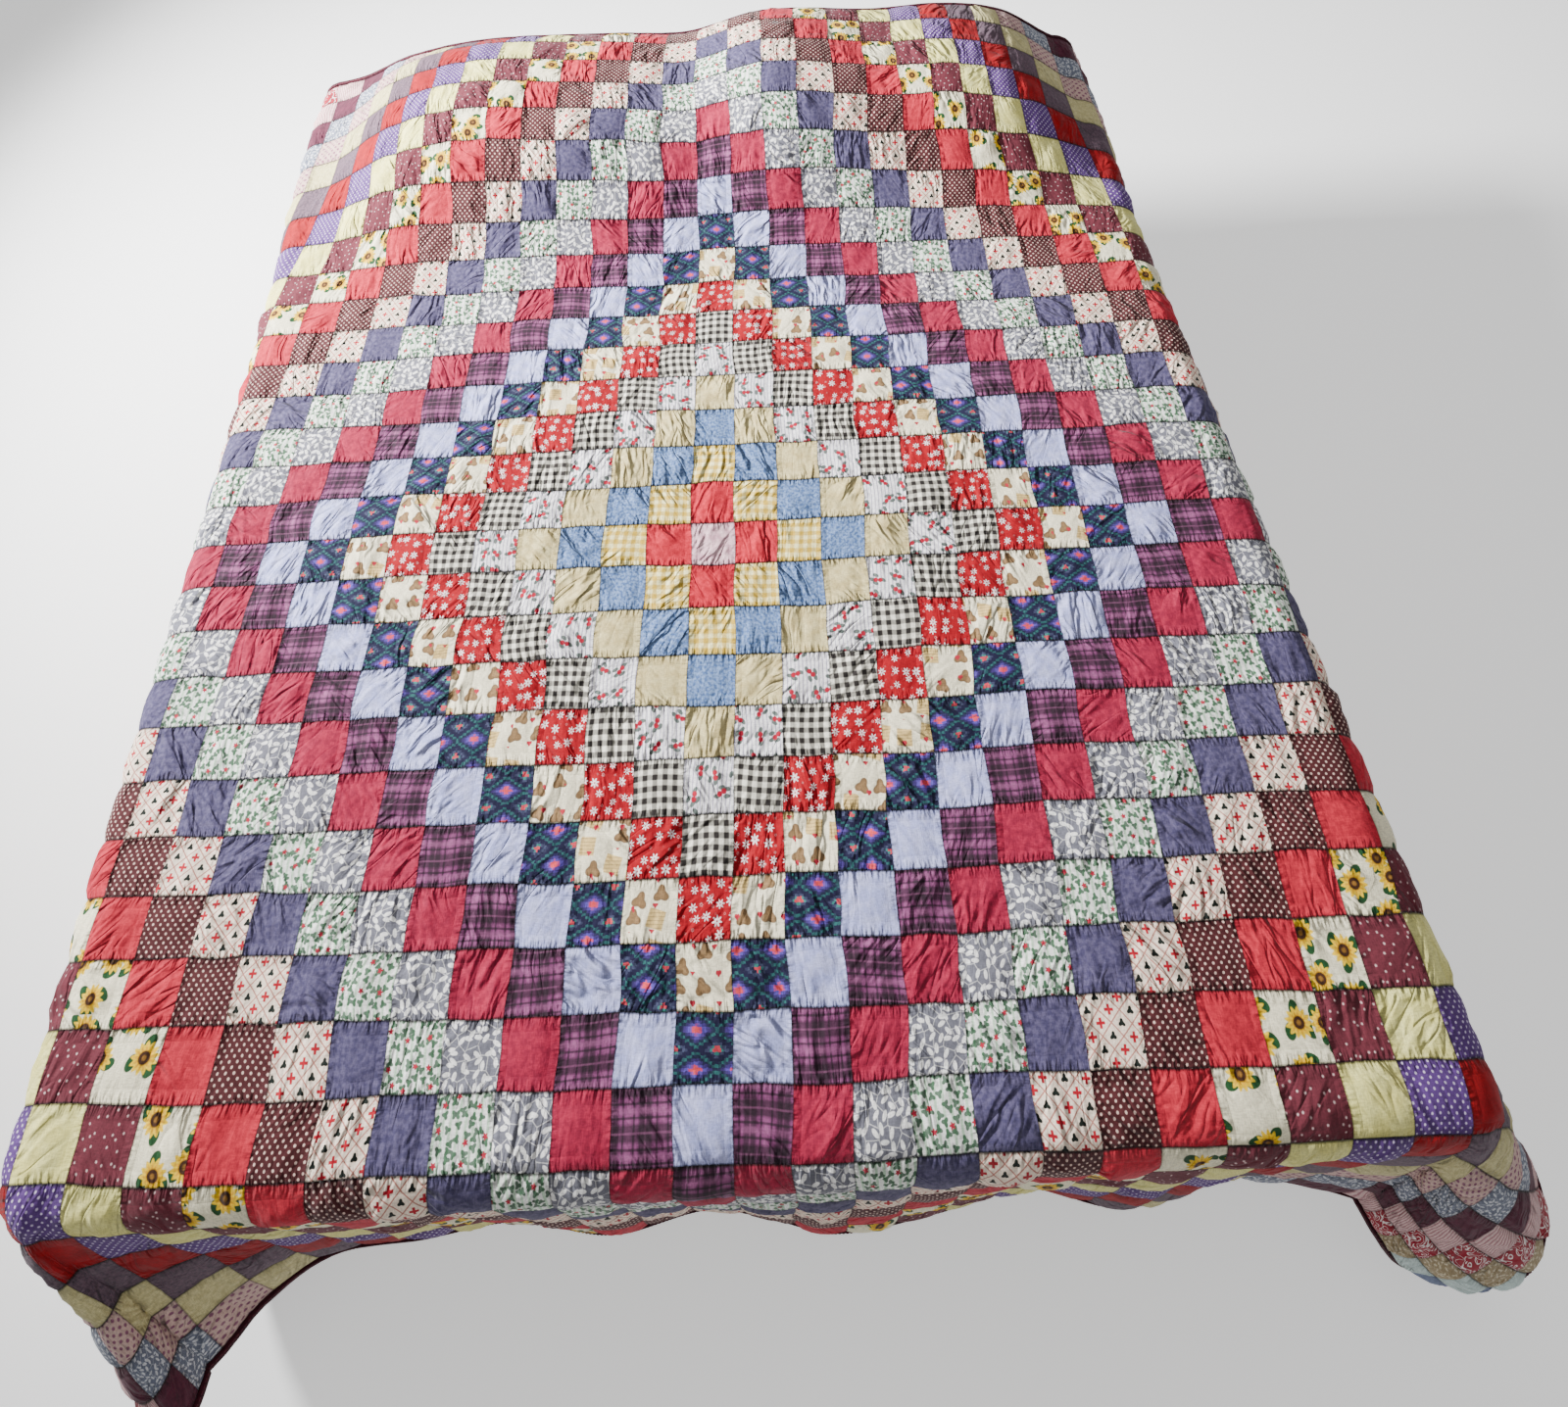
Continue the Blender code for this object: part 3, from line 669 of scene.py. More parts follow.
def ripple(x: Array, y: Array, seed: int) -> Array:
    """Smooth uneven value from -1 to 1 with waves about a unit long.

    Args:
        x: First coordinate.
        y: Second coordinate.
        seed: Which pattern.

    Returns:
        The value at each point.
    """
    table = np.random.default_rng(seed).uniform(-1, 1, (64, 64))
    i, j = np.floor(x).astype(int), np.floor(y).astype(int)
    s, t = ease(x - i), ease(y - j)
    low = table[i % 64, j % 64] * (1 - s) + table[(i + 1) % 64, j % 64] * s
    high = table[i % 64, (j + 1) % 64] * (1 - s) + table[(i + 1) % 64, (j + 1) % 64] * s
    return low * (1 - t) + high * t


@dataclass(frozen=True)
class Drape:
    """How the quilt lies and hangs, in squares of the patchwork, the same as the solids.

    Quilt coordinates are u across and v toward the head; the bed's are x across and y toward the
    head.  The rim tables run from the head end of a side (negative), round the foot corner (0 to
    6) and along the foot, with the heading and the flare of the hanging cloth in degrees.
    """

    square: float = SQUARE_MM / 1000
    turn: float = math.radians(3.3)
    bed_top: float = 0.710
    side_plane: tuple[float, float] = (12.50, 12.65)
    foot_plane: float = 10.90
    foot_slant: float = 0.035
    mattress_foot: float = 10.46
    mattress_head: float = 16.10
    bend: float = 0.80
    wedge: float = 6.0
    turn_over: float = 3.4
    curl_from: float = 6.0
    curl: float = 0.26
    take_up: tuple[float, float] = (1.05, 0.90)
    take_up_from: float = 6.0
    rise_height: float = 2.60
    rise_along: tuple[tuple[float, float], ...] = (
        (7.0, 0.0), (8.2, 0.08), (9.3, 0.22), (10.5, 0.49), (11.7, 0.78), (13.0, 0.93),
        (14.6, 0.98), (15.8, 0.92), (17.3, 0.62))
    rise_across: tuple[tuple[float, float], ...] = (
        (-14.5, 0.0), (-13.0, 0.06), (-11.0, 0.25), (-9.0, 0.74), (-6.5, 0.99), (-2.5, 0.90),
        (0.0, 0.80), (2.5, 1.08), (6.0, 0.92), (8.0, 0.92), (10.0, 0.74), (12.0, 0.20),
        (13.5, 0.05), (14.5, 0.0))
    left_rim: tuple[tuple[float, float, float], ...] = (
        (-27.0, 0, 8), (-24.5, 0, 10), (-22.0, 0, 5), (-19.0, 0, 9), (-16.0, 0, 5), (-13.0, 0, 8),
        (-10.0, 0, 5), (-7.0, 0, 8), (-4.5, 1, 7), (-2.0, 2, 7), (0.0, 7, 8), (1.0, 28, 11),
        (2.0, 56, 16), (3.0, 79, 26), (4.0, 94, 35), (5.0, 104, 38), (6.0, 108, 31),
        (7.0, 106, 21), (8.5, 101, 13), (10.5, 97, 11), (12.5, 94, 9), (14.5, 91, 12),
        (16.5, 90, 9), (18.0, 90, 11))
    right_rim: tuple[tuple[float, float, float], ...] = (
        (-27.0, 0, 6), (-24.0, 0, 9), (-21.0, 0, 4), (-18.0, 0, 8), (-15.0, 1, 5), (-12.0, 1, 8),
        (-9.0, 2, 5), (-6.5, 4, 8), (-4.0, 7, 9), (-2.0, 12, 14), (0.0, 18, 24), (1.0, 30, 32),
        (2.0, 47, 35), (3.0, 62, 32), (4.0, 75, 26), (5.0, 83, 20), (6.0, 88, 14),
        (7.0, 92, 11), (8.5, 93, 9), (10.5, 93, 13), (12.5, 91, 9), (14.5, 90, 12),
        (16.5, 90, 14), (18.0, 90, 11))

    def rise(self, x: Array, y: Array) -> Array:
        """Height of the cloth over the pillows above the flat of the bed.

        Args:
            x: Bed coordinate across.
            y: Bed coordinate toward the head.

        Returns:
            The height in squares.
        """
        share = through(self.rise_along, y) * through(self.rise_across, x)
        return self.rise_height * np.maximum(0.0, share)

    def fall(self, length: Array, flare: Array) -> tuple[Array, Array]:
        """Find how far cloth reaches past the bend where it leaves the flat.

        Args:
            length: Length of cloth past the flat.
            flare: Its angle from straight down.

        Returns:
            Distances outward and down.
        """
        turn = math.pi / 2 - flare
        angle = np.minimum(length / self.bend, turn)
        straight = np.maximum(0.0, np.minimum(length, self.curl_from) - self.bend * turn)
        out = self.bend * np.sin(angle) + straight * np.sin(flare)
        down = self.bend * (1 - np.cos(angle)) + straight * np.cos(flare)
        end = flare - self.curl * np.maximum(0.0, length - self.curl_from)
        out = out + (np.cos(end) - np.cos(flare)) / self.curl
        return out, down + (np.sin(flare) - np.sin(end)) / self.curl

    def lay(self, u: Array, v: Array) -> Array:
        """Put the cloth's under face on the bed.

        Args:
            u: Quilt coordinate across.
            v: Quilt coordinate toward the head.

        Returns:
            Points in squares in the bed's coordinates, one row each.
        """
        c, s = math.cos(self.turn), math.sin(self.turn)
        x, y = u * c + v * s, -u * s + v * c
        left = x < 0
        flat_x = np.where(left, *self.side_plane) - self.bend
        reach = self.side_plane[0]
        flat_y = self.foot_plane + self.foot_slant * np.clip(x, -reach, reach) - self.bend
        taken = np.where(left, *self.take_up) * through(self.rise_along, y)
        edge = flat_x + taken
        past_side = np.maximum(0.0, np.abs(x) - edge)
        past_foot = np.maximum(0.0, -y - flat_y)
        drawn = taken * ease((np.abs(x) - self.take_up_from) / (edge - self.take_up_from))
        x = np.where(past_side == 0, np.copysign(np.abs(x) - drawn, x), x)
        x, y = np.clip(x, -flat_x, flat_x), np.maximum(-flat_y, y)
        length = np.hypot(past_side, past_foot)
        square_on = np.arctan2(past_foot, past_side)
        rim = np.where(past_side > 0, -(y + flat_y), self.wedge + flat_x - np.abs(x))
        rim = np.where((past_side > 0) & (past_foot > 0),
                       self.wedge * square_on / (math.pi / 2), rim)
        heading, flare = (np.radians(np.where(left, through(self.left_rim, rim, column),
                                              through(self.right_rim, rim, column)))
                          for column in (1, 2))
        heading = square_on + (heading - square_on) * ease(length / self.turn_over)
        out, down = self.fall(length, flare)
        out, down = np.where(length > 0, out, 0.0), np.where(length > 0, down, 0.0)
        sign = np.where(left, -1.0, 1.0)
        return np.stack((x + sign * out * np.cos(heading), y - out * np.sin(heading),
                         self.rise(x, y) - down), axis=-1)

    def place(self, points: Array) -> Array:
        """Turn squares in the bed's coordinates into metres in the part's.

        Args:
            points: Points in squares.

        Returns:
            Points in metres.
        """
        middle = np.array(((self.side_plane[1] - self.side_plane[0]) / 2,
                           (self.mattress_head - self.mattress_foot) / 2, 0.0))
        return (points - middle) * self.square + np.array((0.0, 0.0, self.bed_top + 0.0004))

    def directions(self, u: Array, v: Array) -> tuple[Array, Array, Array]:
        """Find which way the cloth runs.

        Args:
            u: Quilt coordinate across.
            v: Quilt coordinate toward the head.

        Returns:
            Unit directions along u, along v and out of its face.
        """
        step = 0.06
        along_u = self.lay(u + step, v) - self.lay(u - step, v)
        along_v = self.lay(u, v + step) - self.lay(u, v - step)
        out = np.cross(along_u, along_v)
        return tuple(a / np.linalg.norm(a, axis=-1, keepdims=True)
                     for a in (along_u, along_v, out))

    def cloth(self, u: Array, v: Array, lift: Array) -> Array:
        """Find points of the cloth.

        Args:
            u: Quilt coordinate across.
            v: Quilt coordinate toward the head.
            lift: Lift off the cloth's under face in metres.

        Returns:
            Points in metres.
        """
        return self.place(self.lay(u, v)) + self.directions(u, v)[2] * lift[..., None]


def link_piece(name: str, mesh: bpy.types.Mesh) -> bpy.types.Object:
    """Put a mesh into the scene as an object at the origin.

    Args:
        name: The object's name.
        mesh: Its mesh.

    Returns:
        The new object.
    """
    made = bpy.data.objects.new(name, mesh)
    bpy.context.scene.collection.objects.link(made)
    return made


def form_piece(name: str, form: bmesh.types.BMesh,
               material: bpy.types.Material) -> bpy.types.Object:
    """Turn a worked form into a smooth printed piece.

    Args:
        name: The piece's name.
        form: Its form, which is freed.
        material: Its cloth.

    Returns:
        The finished piece.
    """
    mesh = bpy.data.meshes.new(name)
    form.to_mesh(mesh)
    form.free()
    mesh.materials.append(material)
    made = link_piece(name, mesh)
    mesh.shade_smooth()
    wrap_print(made)
    return made


def face_outward(mesh: bpy.types.Mesh, recalculate: bool) -> None:
    """Turn a closed mesh's faces outward.

    Args:
        mesh: The mesh.
        recalculate: Whether its faces are first made to agree.
    """
    form = bmesh.new()
    form.from_mesh(mesh)
    if recalculate:
        bmesh.ops.recalc_face_normals(form, faces=form.faces[:])
    if form.calc_volume(signed=True) < 0:
        bmesh.ops.reverse_faces(form, faces=form.faces[:])
    form.to_mesh(mesh)
    form.free()


def corners(mesh: bpy.types.Mesh) -> Array:
    """Vertex number of each corner of a mesh's faces."""
    found = np.empty(len(mesh.loops), np.int32)
    mesh.loops.foreach_get("vertex_index", found)
    return found


def lay_map(mesh: bpy.types.Mesh, name: str, values: Array) -> None:
    """Give a mesh a map with two values for each corner."""
    layer = mesh.uv_layers.new(name=name)
    layer.data.foreach_set("uv", values.astype(np.float32).ravel())


def number_grids(*shapes: tuple[int, int]) -> list[Array]:
    """Number the vertices of grids that follow each other."""
    ends = np.cumsum([0] + [wide * tall for wide, tall in shapes])
    return [np.arange(wide * tall).reshape(wide, tall) + start
            for (wide, tall), start in zip(shapes, ends)]


def grid_faces(high: Array, low: Array) -> tuple[Array, Array]:
    """Faces of a sheet's upper grid and, turned over, of its lower grid.

    Args:
        high: Vertex numbers of the upper grid.
        low: Vertex numbers of the lower grid.

    Returns:
        The quads of both, laid out as the grids are.
    """
    return (np.stack((high[:-1, :-1], high[1:, :-1], high[1:, 1:], high[:-1, 1:]), -1),
            np.stack((low[:-1, :-1], low[:-1, 1:], low[1:, 1:], low[1:, :-1]), -1))


def tube_faces(count: int, around: int) -> list[list[int]]:
    """Quads of a closed tube of rings.

    Args:
        count: Number of rings.
        around: Points in a ring.

    Returns:
        The faces.
    """
    ring = np.arange(count * around).reshape(count, around)
    after = np.roll(ring, -1, axis=0)
    quads = np.stack((ring, after, np.roll(after, -1, axis=1), np.roll(ring, -1, axis=1)), -1)
    return quads.reshape(-1, 4).tolist()


def new_piece(name: str, points: Array, faces: Sequence[Sequence[int]],
              materials: Sequence[bpy.types.Material], smooth: bool = True) -> bpy.types.Object:
    """Make a mesh object at the origin.

    Args:
        name: The piece's name.
        points: Its vertices.
        faces: Its faces.
        materials: Its materials in slot order.
        smooth: Whether it is shaded smooth.

    Returns:
        The new object.
    """
    mesh = bpy.data.meshes.new(name)
    mesh.from_pydata(np.asarray(points).tolist(), [], faces)
    for material in materials:
        mesh.materials.append(material)
    made = link_piece(name, mesh)
    if smooth:
        mesh.shade_smooth()
    return made


def wrap_print(piece: bpy.types.Object) -> None:
    """Lay the print map on a piece from its faces' directions, in millimetres.

    Args:
        piece: The piece.
    """
    mesh = piece.data
    layer = mesh.uv_layers.new(name="print")
    for face in mesh.polygons:
        drop = max(range(3), key=lambda k: abs(face.normal[k]))
        keep = [k for k in range(3) if k != drop]
        for loop in face.loop_indices:
            point = mesh.vertices[mesh.loops[loop].vertex_index].co
            layer.data[loop].uv = (point[keep[0]] * 1000, point[keep[1]] * 1000)


@dataclass
class Quilt:
    """The quilt: its pieced and padded top, its backing and its bound edge.

    Attributes:
        columns: Squares across.
        rows: Squares from foot to head.
        top_from: Lift of the top's under face, over the backing.
        seam_lift: Lift of the top's face in the row seams.
        puff: How far the padding stands over the seams.
        crease_depth: How far a crease sinks, as a negative lift, or stands.
        crease_width: Half its width in squares.
        wander_in: How far from the edge the seams wander fully, in squares.
        bolt: How far the prints are shifted at random, in millimetres.
        off_grain: How far a square's print leans at random, in degrees.
        crease_ways: Which ways the creases of a square run.
        stitch_in: How far the stitches lie in from the binding's inner side.
        stitch_sunk: How far they sink into it.
        rim_steps: Stations round the edge for each square.
        steps: Places of the lattice's lines in a square of the top.
        under_steps: The same of the under faces.
    """

    drape: Drape = field(default_factory=Drape)
    columns: int = 37
    rows: int = 33
    top_from: float = 0.0025
    backing: float = 0.0020
    seam_lift: float = 0.0042
    puff: float = 0.0042
    binding_gap: float = 0.0008
    binding_width: float = 0.0120
    binding_lift: tuple[float, float] = (-0.0002, 0.0086)
    crease_depth: tuple[float, float] = (-0.0034, 0.0030)
    crease_width: tuple[float, float] = (0.08, 0.15)
    wander_in: float = 1.5
    bolt: float = 400.0
    off_grain: float = 2.0
    crease_ways: tuple[float, ...] = (-0.9, -0.6, 0.5, 0.8, 0.1, -0.1)
    stitch_pitch: float = 0.006
    stitch_length: float = 0.0034
    stitch_radius: float = 0.0006
    stitch_in: float = 0.0030
    stitch_sunk: float = 0.0004
    rim_steps: int = 4
    steps: tuple[float, ...] = (0.0, 0.04, 0.17, 0.335, 0.50, 0.665, 0.83, 0.96)
    under_steps: tuple[float, ...] = (0.0, 1 / 3, 2 / 3)

    def lines(self, count: int, steps: Sequence[float]) -> Array:
        """Place the lattice's lines from edge to edge.

        Args:
            count: Number of squares.
            steps: Places of the lines in a square.

        Returns:
            The quilt coordinate of each line.
        """
        inner = (np.arange(count)[:, None] + np.array(steps)[None, :]).ravel()
        return np.append(inner, count) - count / 2

    def lattice(self, steps: Sequence[float]) -> tuple[Array, Array]:
        """Quilt coordinates u and v where the lines of a lattice cross."""
        return np.meshgrid(self.lines(self.columns, steps), self.lines(self.rows, steps),
                           indexing="ij")

    def swell(self, u: Array, v: Array) -> Array:
        """Slow unevenness of the whole quilt over the bed, never inward.

        Args:
            u: Quilt coordinate across.
            v: Quilt coordinate toward the head.

        Returns:
            The lift in metres.
        """
        inside = ease((11.0 - np.abs(u)) / 3) * ease((v + 9.5) / 3) * ease((15.0 - v) / 2)
        wave = 0.6 * ripple(u / 3.1, v / 2.6, 11) + 0.4 * ripple(u / 1.4, v / 1.2, 12)
        return 0.0055 * inside * np.maximum(0.0, wave + 0.25)

    def padding(self, u: Array, v: Array) -> Array:
        """Lift of the top's face: seams, padding and creases, in metres.

        Args:
            u: Quilt coordinate across.
            v: Quilt coordinate toward the head.

        Returns:
            The lift at each point.
        """
        column = np.clip(np.floor(u + self.columns / 2 + 1e-9), 0, self.columns - 1).astype(int)
        row = np.clip(np.floor(v + self.rows / 2 + 1e-9), 0, self.rows - 1).astype(int)
        s, t = u + self.columns / 2 - column, v + self.rows / 2 - row
        over_s, over_t = (1 - np.abs(2 * way - 1) ** 3.2 for way in (s, t))
        chance = np.random.default_rng(5)
        full = chance.uniform(0.7, 1.2, (self.columns, self.rows))[column, row]
        lift = self.seam_lift + 0.0012 * over_t + self.puff * full * over_s * over_t
        inner = np.minimum(over_s * over_t * 1.6, 1.0)
        for _ in range(3):
            lean = chance.choice((0.6, 0.8, 2.3, 2.5, 1.5, 0.1), (self.columns, self.rows))
            lean = (lean + chance.uniform(-0.25, 0.25, lean.shape))[column, row]
            off = chance.uniform(-0.32, 0.32, (self.columns, self.rows))[column, row]
            wide = chance.uniform(*self.crease_width, (self.columns, self.rows))[column, row]
            deep = chance.uniform(*self.crease_depth, (self.columns, self.rows))[column, row]
            across = (s - 0.5) * np.sin(lean) - (t - 0.5) * np.cos(lean) - off
            lift = lift + deep * inner * np.exp(-(across / wide) ** 2)
        gathers = (ripple(u * 6.3, v * 0.9, 21) * (1 - over_t)
                   + 0.7 * ripple(u * 0.9, v * 6.3, 22) * (1 - over_s))
        return lift + 0.0007 * gathers

    def wander(self, u: Array, v: Array) -> tuple[Array, Array]:
        """Let the seams wander a little inside the quilt, as hand-pieced rows do.

        Args:
            u: Quilt coordinate across.
            v: Quilt coordinate toward the head.

        Returns:
            The moved coordinates.
        """
        inside = (ease((self.columns / 2 - np.abs(u)) / self.wander_in)
                  * ease((self.rows / 2 - np.abs(v)) / self.wander_in))
        moved_u = u + inside * (0.050 * ripple(u * 0.55, v * 0.95, 31) +
                                0.030 * ripple(u * 0.9, v * 2.0, 33))
        moved_v = v + inside * (0.055 * ripple(u * 0.45, v * 0.6, 32) +
                                0.022 * ripple(u * 2.0, v * 0.8, 34))
        return moved_u, moved_v

    def make_top(self) -> bpy.types.Object:
        """Make the pieced top as one closed padded sheet.

        Returns:
            The finished top.
        """
        fine, coarse = self.lattice(self.steps), self.lattice(self.under_steps)
        u, v = fine
        moved_u, moved_v = self.wander(u, v)
        upper = self.drape.cloth(moved_u, moved_v,
                                 self.padding(u, v) + self.swell(moved_u, moved_v))
        lower = self.drape.cloth(*coarse, self.top_from + self.swell(*coarse))
        high, low = number_grids(upper.shape[:2], lower.shape[:2])
        quads, under = grid_faces(high, low)
        faces = quads.reshape(-1, 4).tolist() + under.reshape(-1, 4).tolist()
        walls, squares = self.close_edge(high, low)
        points = np.concatenate((upper.reshape(-1, 3), lower.reshape(-1, 3)))
        made = new_piece("quilt_top", points, faces + walls, [weave(c, True) for c in RINGS])
        self.map_squares(made, (quads.shape[:2], under.shape[:2]), squares, (fine, coarse))
        return made

    def close_edge(self, high: Array, low: Array) -> tuple[list[list[int]], list[tuple[int, int]]]:
        """Wall between the fine face and the coarser under face, a span of the edge at a time.

        Args:
            high: Vertex numbers of the face.
            low: Vertex numbers of the under face.

        Returns:
            The wall's faces, and the square that each belongs to.
        """
        fine, coarse = len(self.steps), len(self.under_steps)
        edges = ((high[:, 0], low[:, 0], True, 0),
                 (high[-1, :], low[-1, :], False, self.columns - 1),
                 (high[::-1, -1], low[::-1, -1], True, self.rows - 1),
                 (high[0, ::-1], low[0, ::-1], False, 0))
        faces, squares = [], []
        for number, (top, base, along_u, fixed) in enumerate(edges):
            count = (len(top) - 1) // fine
            for k in range(count):
                rim = [int(x) for x in top[k * fine:(k + 1) * fine + 1]]
                foot = [int(x) for x in base[k * coarse:(k + 1) * coarse + 1]]
                faces.append(foot + rim[::-1])
                at = k if number < 2 else count - 1 - k
                squares.append((at, fixed) if along_u else (fixed, at))
        return faces, squares

    def map_squares(self, made: bpy.types.Object, sizes: Sequence[tuple[int, int]],
                    walls: Sequence[tuple[int, int]],
                    lattices: Sequence[tuple[Array, Array]]) -> None:
        """Give each face its square's cotton, its place in the square and its print.

        Args:
            made: The top.
            sizes: Faces across and along the upper face, and the same of the under face.
            walls: The square of each face of the edge.
            lattices: The upper and the under lattice.
        """
        mesh = made.data
        column, row = [], []
        for (wide, tall), per in zip(sizes, (len(self.steps), len(self.under_steps))):
            a, b = np.meshgrid(np.arange(wide) // per, np.arange(tall) // per, indexing="ij")
            column.append(a.ravel())
            row.append(b.ravel())
        column.append(np.array([w[0] for w in walls]))
        row.append(np.array([w[1] for w in walls]))
        column, row = np.concatenate(column), np.concatenate(row)
        ring = np.abs(column - self.columns // 2) + np.abs(row - self.rows // 2)
        mesh.polygons.foreach_set("material_index", ring.astype(np.int32))
        place = np.concatenate([np.stack(pair, -1).reshape(-1, 2) for pair in lattices])
        total = np.empty(len(mesh.polygons), np.int32)
        mesh.polygons.foreach_get("loop_total", total)
        own = np.repeat(np.arange(len(total)), total)
        at = place[corners(mesh)] + np.array((self.columns / 2, self.rows / 2))
        at = at - np.stack((column[own], row[own]), -1)
        chance = np.random.default_rng(7)
        shift = chance.uniform(0, self.bolt, (self.columns, self.rows, 2))[column, row][own]
        lean = np.radians(chance.normal(0, self.off_grain, (self.columns, self.rows)))
        way = chance.choice(self.crease_ways, (self.columns, self.rows))
        way = way + chance.normal(0, 0.15, way.shape)
        lay_map(mesh, "print", self.turned(at, lean[column, row][own]) + shift)
        lay_map(mesh, "square", at)
        lay_map(mesh, "fold", self.turned(at, way[column, row][own]) + shift)

    @staticmethod
    def turned(at: Array, angle: Array) -> Array:
        """Turn places in a square about its middle.

        Args:
            at: Places from 0 to 1.
            angle: The turn of each.

        Returns:
            The places in millimetres.
        """
        c, s = np.cos(angle)[:, None], np.sin(angle)[:, None]
        x, y = at[:, :1] - 0.5, at[:, 1:] - 0.5
        return np.concatenate((x * c - y * s, x * s + y * c), axis=1) * SQUARE_MM

    def make_backing(self) -> bpy.types.Object:
        """Make the backing as one closed thin sheet under the top.

        Returns:
            The finished backing.
        """
        u, v = self.lattice(self.under_steps)
        swell = self.swell(u, v)
        layers = [self.drape.cloth(u, v, lift + swell).reshape(-1, 3)
                  for lift in (self.backing, 0.0)]
        high, low = number_grids(u.shape, u.shape)
        quads, under = grid_faces(high, low)
        rim = np.concatenate((high[:, 0], high[-1, 1:], high[-2::-1, -1], high[0, -2:0:-1]))
        after = np.roll(rim, -1)
        wall = np.stack((rim, rim + u.size, after + u.size, after), -1)
        faces = np.concatenate((quads.reshape(-1, 4), under.reshape(-1, 4), wall)).tolist()
        made = new_piece("quilt_backing", np.concatenate(layers), faces, [weave(BACKING_CLOTH)])
        flat = np.tile(np.stack((u.ravel(), v.ravel()), -1), (2, 1))
        lay_map(made.data, "print", flat[corners(made.data)] * SQUARE_MM)
        return made

    def rim(self, per_square: int) -> tuple[Array, Array, Array]:
        """Walk once round the quilt's edge.

        Args:
            per_square: Stations for each square.

        Returns:
            Points on the under face, and the directions out past the edge and off the face.
        """
        half_u, half_v = self.columns / 2, self.rows / 2
        along_u = np.linspace(-half_u, half_u, self.columns * per_square + 1)[:-1]
        along_v = np.linspace(-half_v, half_v, self.rows * per_square + 1)[:-1]
        u = np.concatenate((along_u, np.full(len(along_v), half_u), -along_u,
                            np.full(len(along_v), -half_u)))
        v = np.concatenate((np.full(len(along_u), -half_v), along_v,
                            np.full(len(along_u), half_v), -along_v))
        run_u, run_v, face = self.drape.directions(u, v)
        at_u, at_v = np.abs(np.abs(u) - half_u) < 1e-6, np.abs(np.abs(v) - half_v) < 1e-6
        out = np.zeros_like(run_u)
        for at, run, other, sign in ((at_u, run_u, run_v, np.sign(u)),
                                     (at_v, run_v, run_u, np.sign(v))):
            square = run - other * np.sum(run * other, axis=1, keepdims=True)
            square /= np.linalg.norm(square, axis=1, keepdims=True)
            out += np.where(at[:, None], square * sign[:, None], 0.0)
        return self.drape.place(self.drape.lay(u, v)), out, face

    def make_binding(self) -> bpy.types.Object:
        """Make the binding: a soft rolled strip all round, as thick as what it holds.

        Returns:
            The finished binding.
        """
        base, out, face = self.rim(self.rim_steps)
        low, high = self.binding_lift
        wide, tall = self.binding_width / 2, (high - low) / 2
        around = 12
        turns = np.linspace(0, 2 * math.pi, around, endpoint=False)
        over, up = (np.sign(way) * np.abs(way) ** 0.62 for way in (np.cos(turns), np.sin(turns)))
        count = len(base)
        plump = 1 + 0.10 * ripple(np.arange(count) * 0.7, np.zeros(count), 41)
        points = (base[:, None, :]
                  + out[:, None, :] * (self.binding_gap + wide + wide * over[None, :, None])
                  + face[:, None, :] * ((low + high) / 2 + tall * plump[:, None, None]
                                        * up[None, :, None]))
        made = new_piece("quilt_binding", points.reshape(-1, 3), tube_faces(count, around),
                         [weave(BINDING_CLOTH)])
        face_outward(made.data, recalculate=True)
        corner = corners(made.data)
        flat = np.stack((corner // around * SQUARE_MM / self.rim_steps, corner % around * 3.2), -1)
        lay_map(made.data, "print", flat)
        return made

    def make_stitching(self) -> bpy.types.Object:
        """Sew the binding down with a row of stitches that follows the edge.

        Returns:
            The finished stitches.
        """
        base, out, face = self.rim(self.rim_steps)
        path = (base + out * (self.binding_gap + self.stitch_in)
                + face * (self.binding_lift[1] - self.stitch_sunk))
        count = len(path)
        mesh = bpy.data.meshes.new("binding_stitches")
        mesh.from_pydata(path.tolist(), [(i, (i + 1) % count) for i in range(count)], [])
        made = link_piece("binding_stitches", mesh)
        thread = weave(THREAD)
        tree = stitch_row_tree()
        row = made.modifiers.new("stitch_row", "NODES")
        row.node_group = tree
        values = {"Pitch": self.stitch_pitch, "Length": self.stitch_length,
                  "Thickness": self.stitch_radius, "Thread": thread}
        for item in tree.interface.items_tree:
            if item.name in values:
                row[item.identifier] = values[item.name]
        return baked(made)


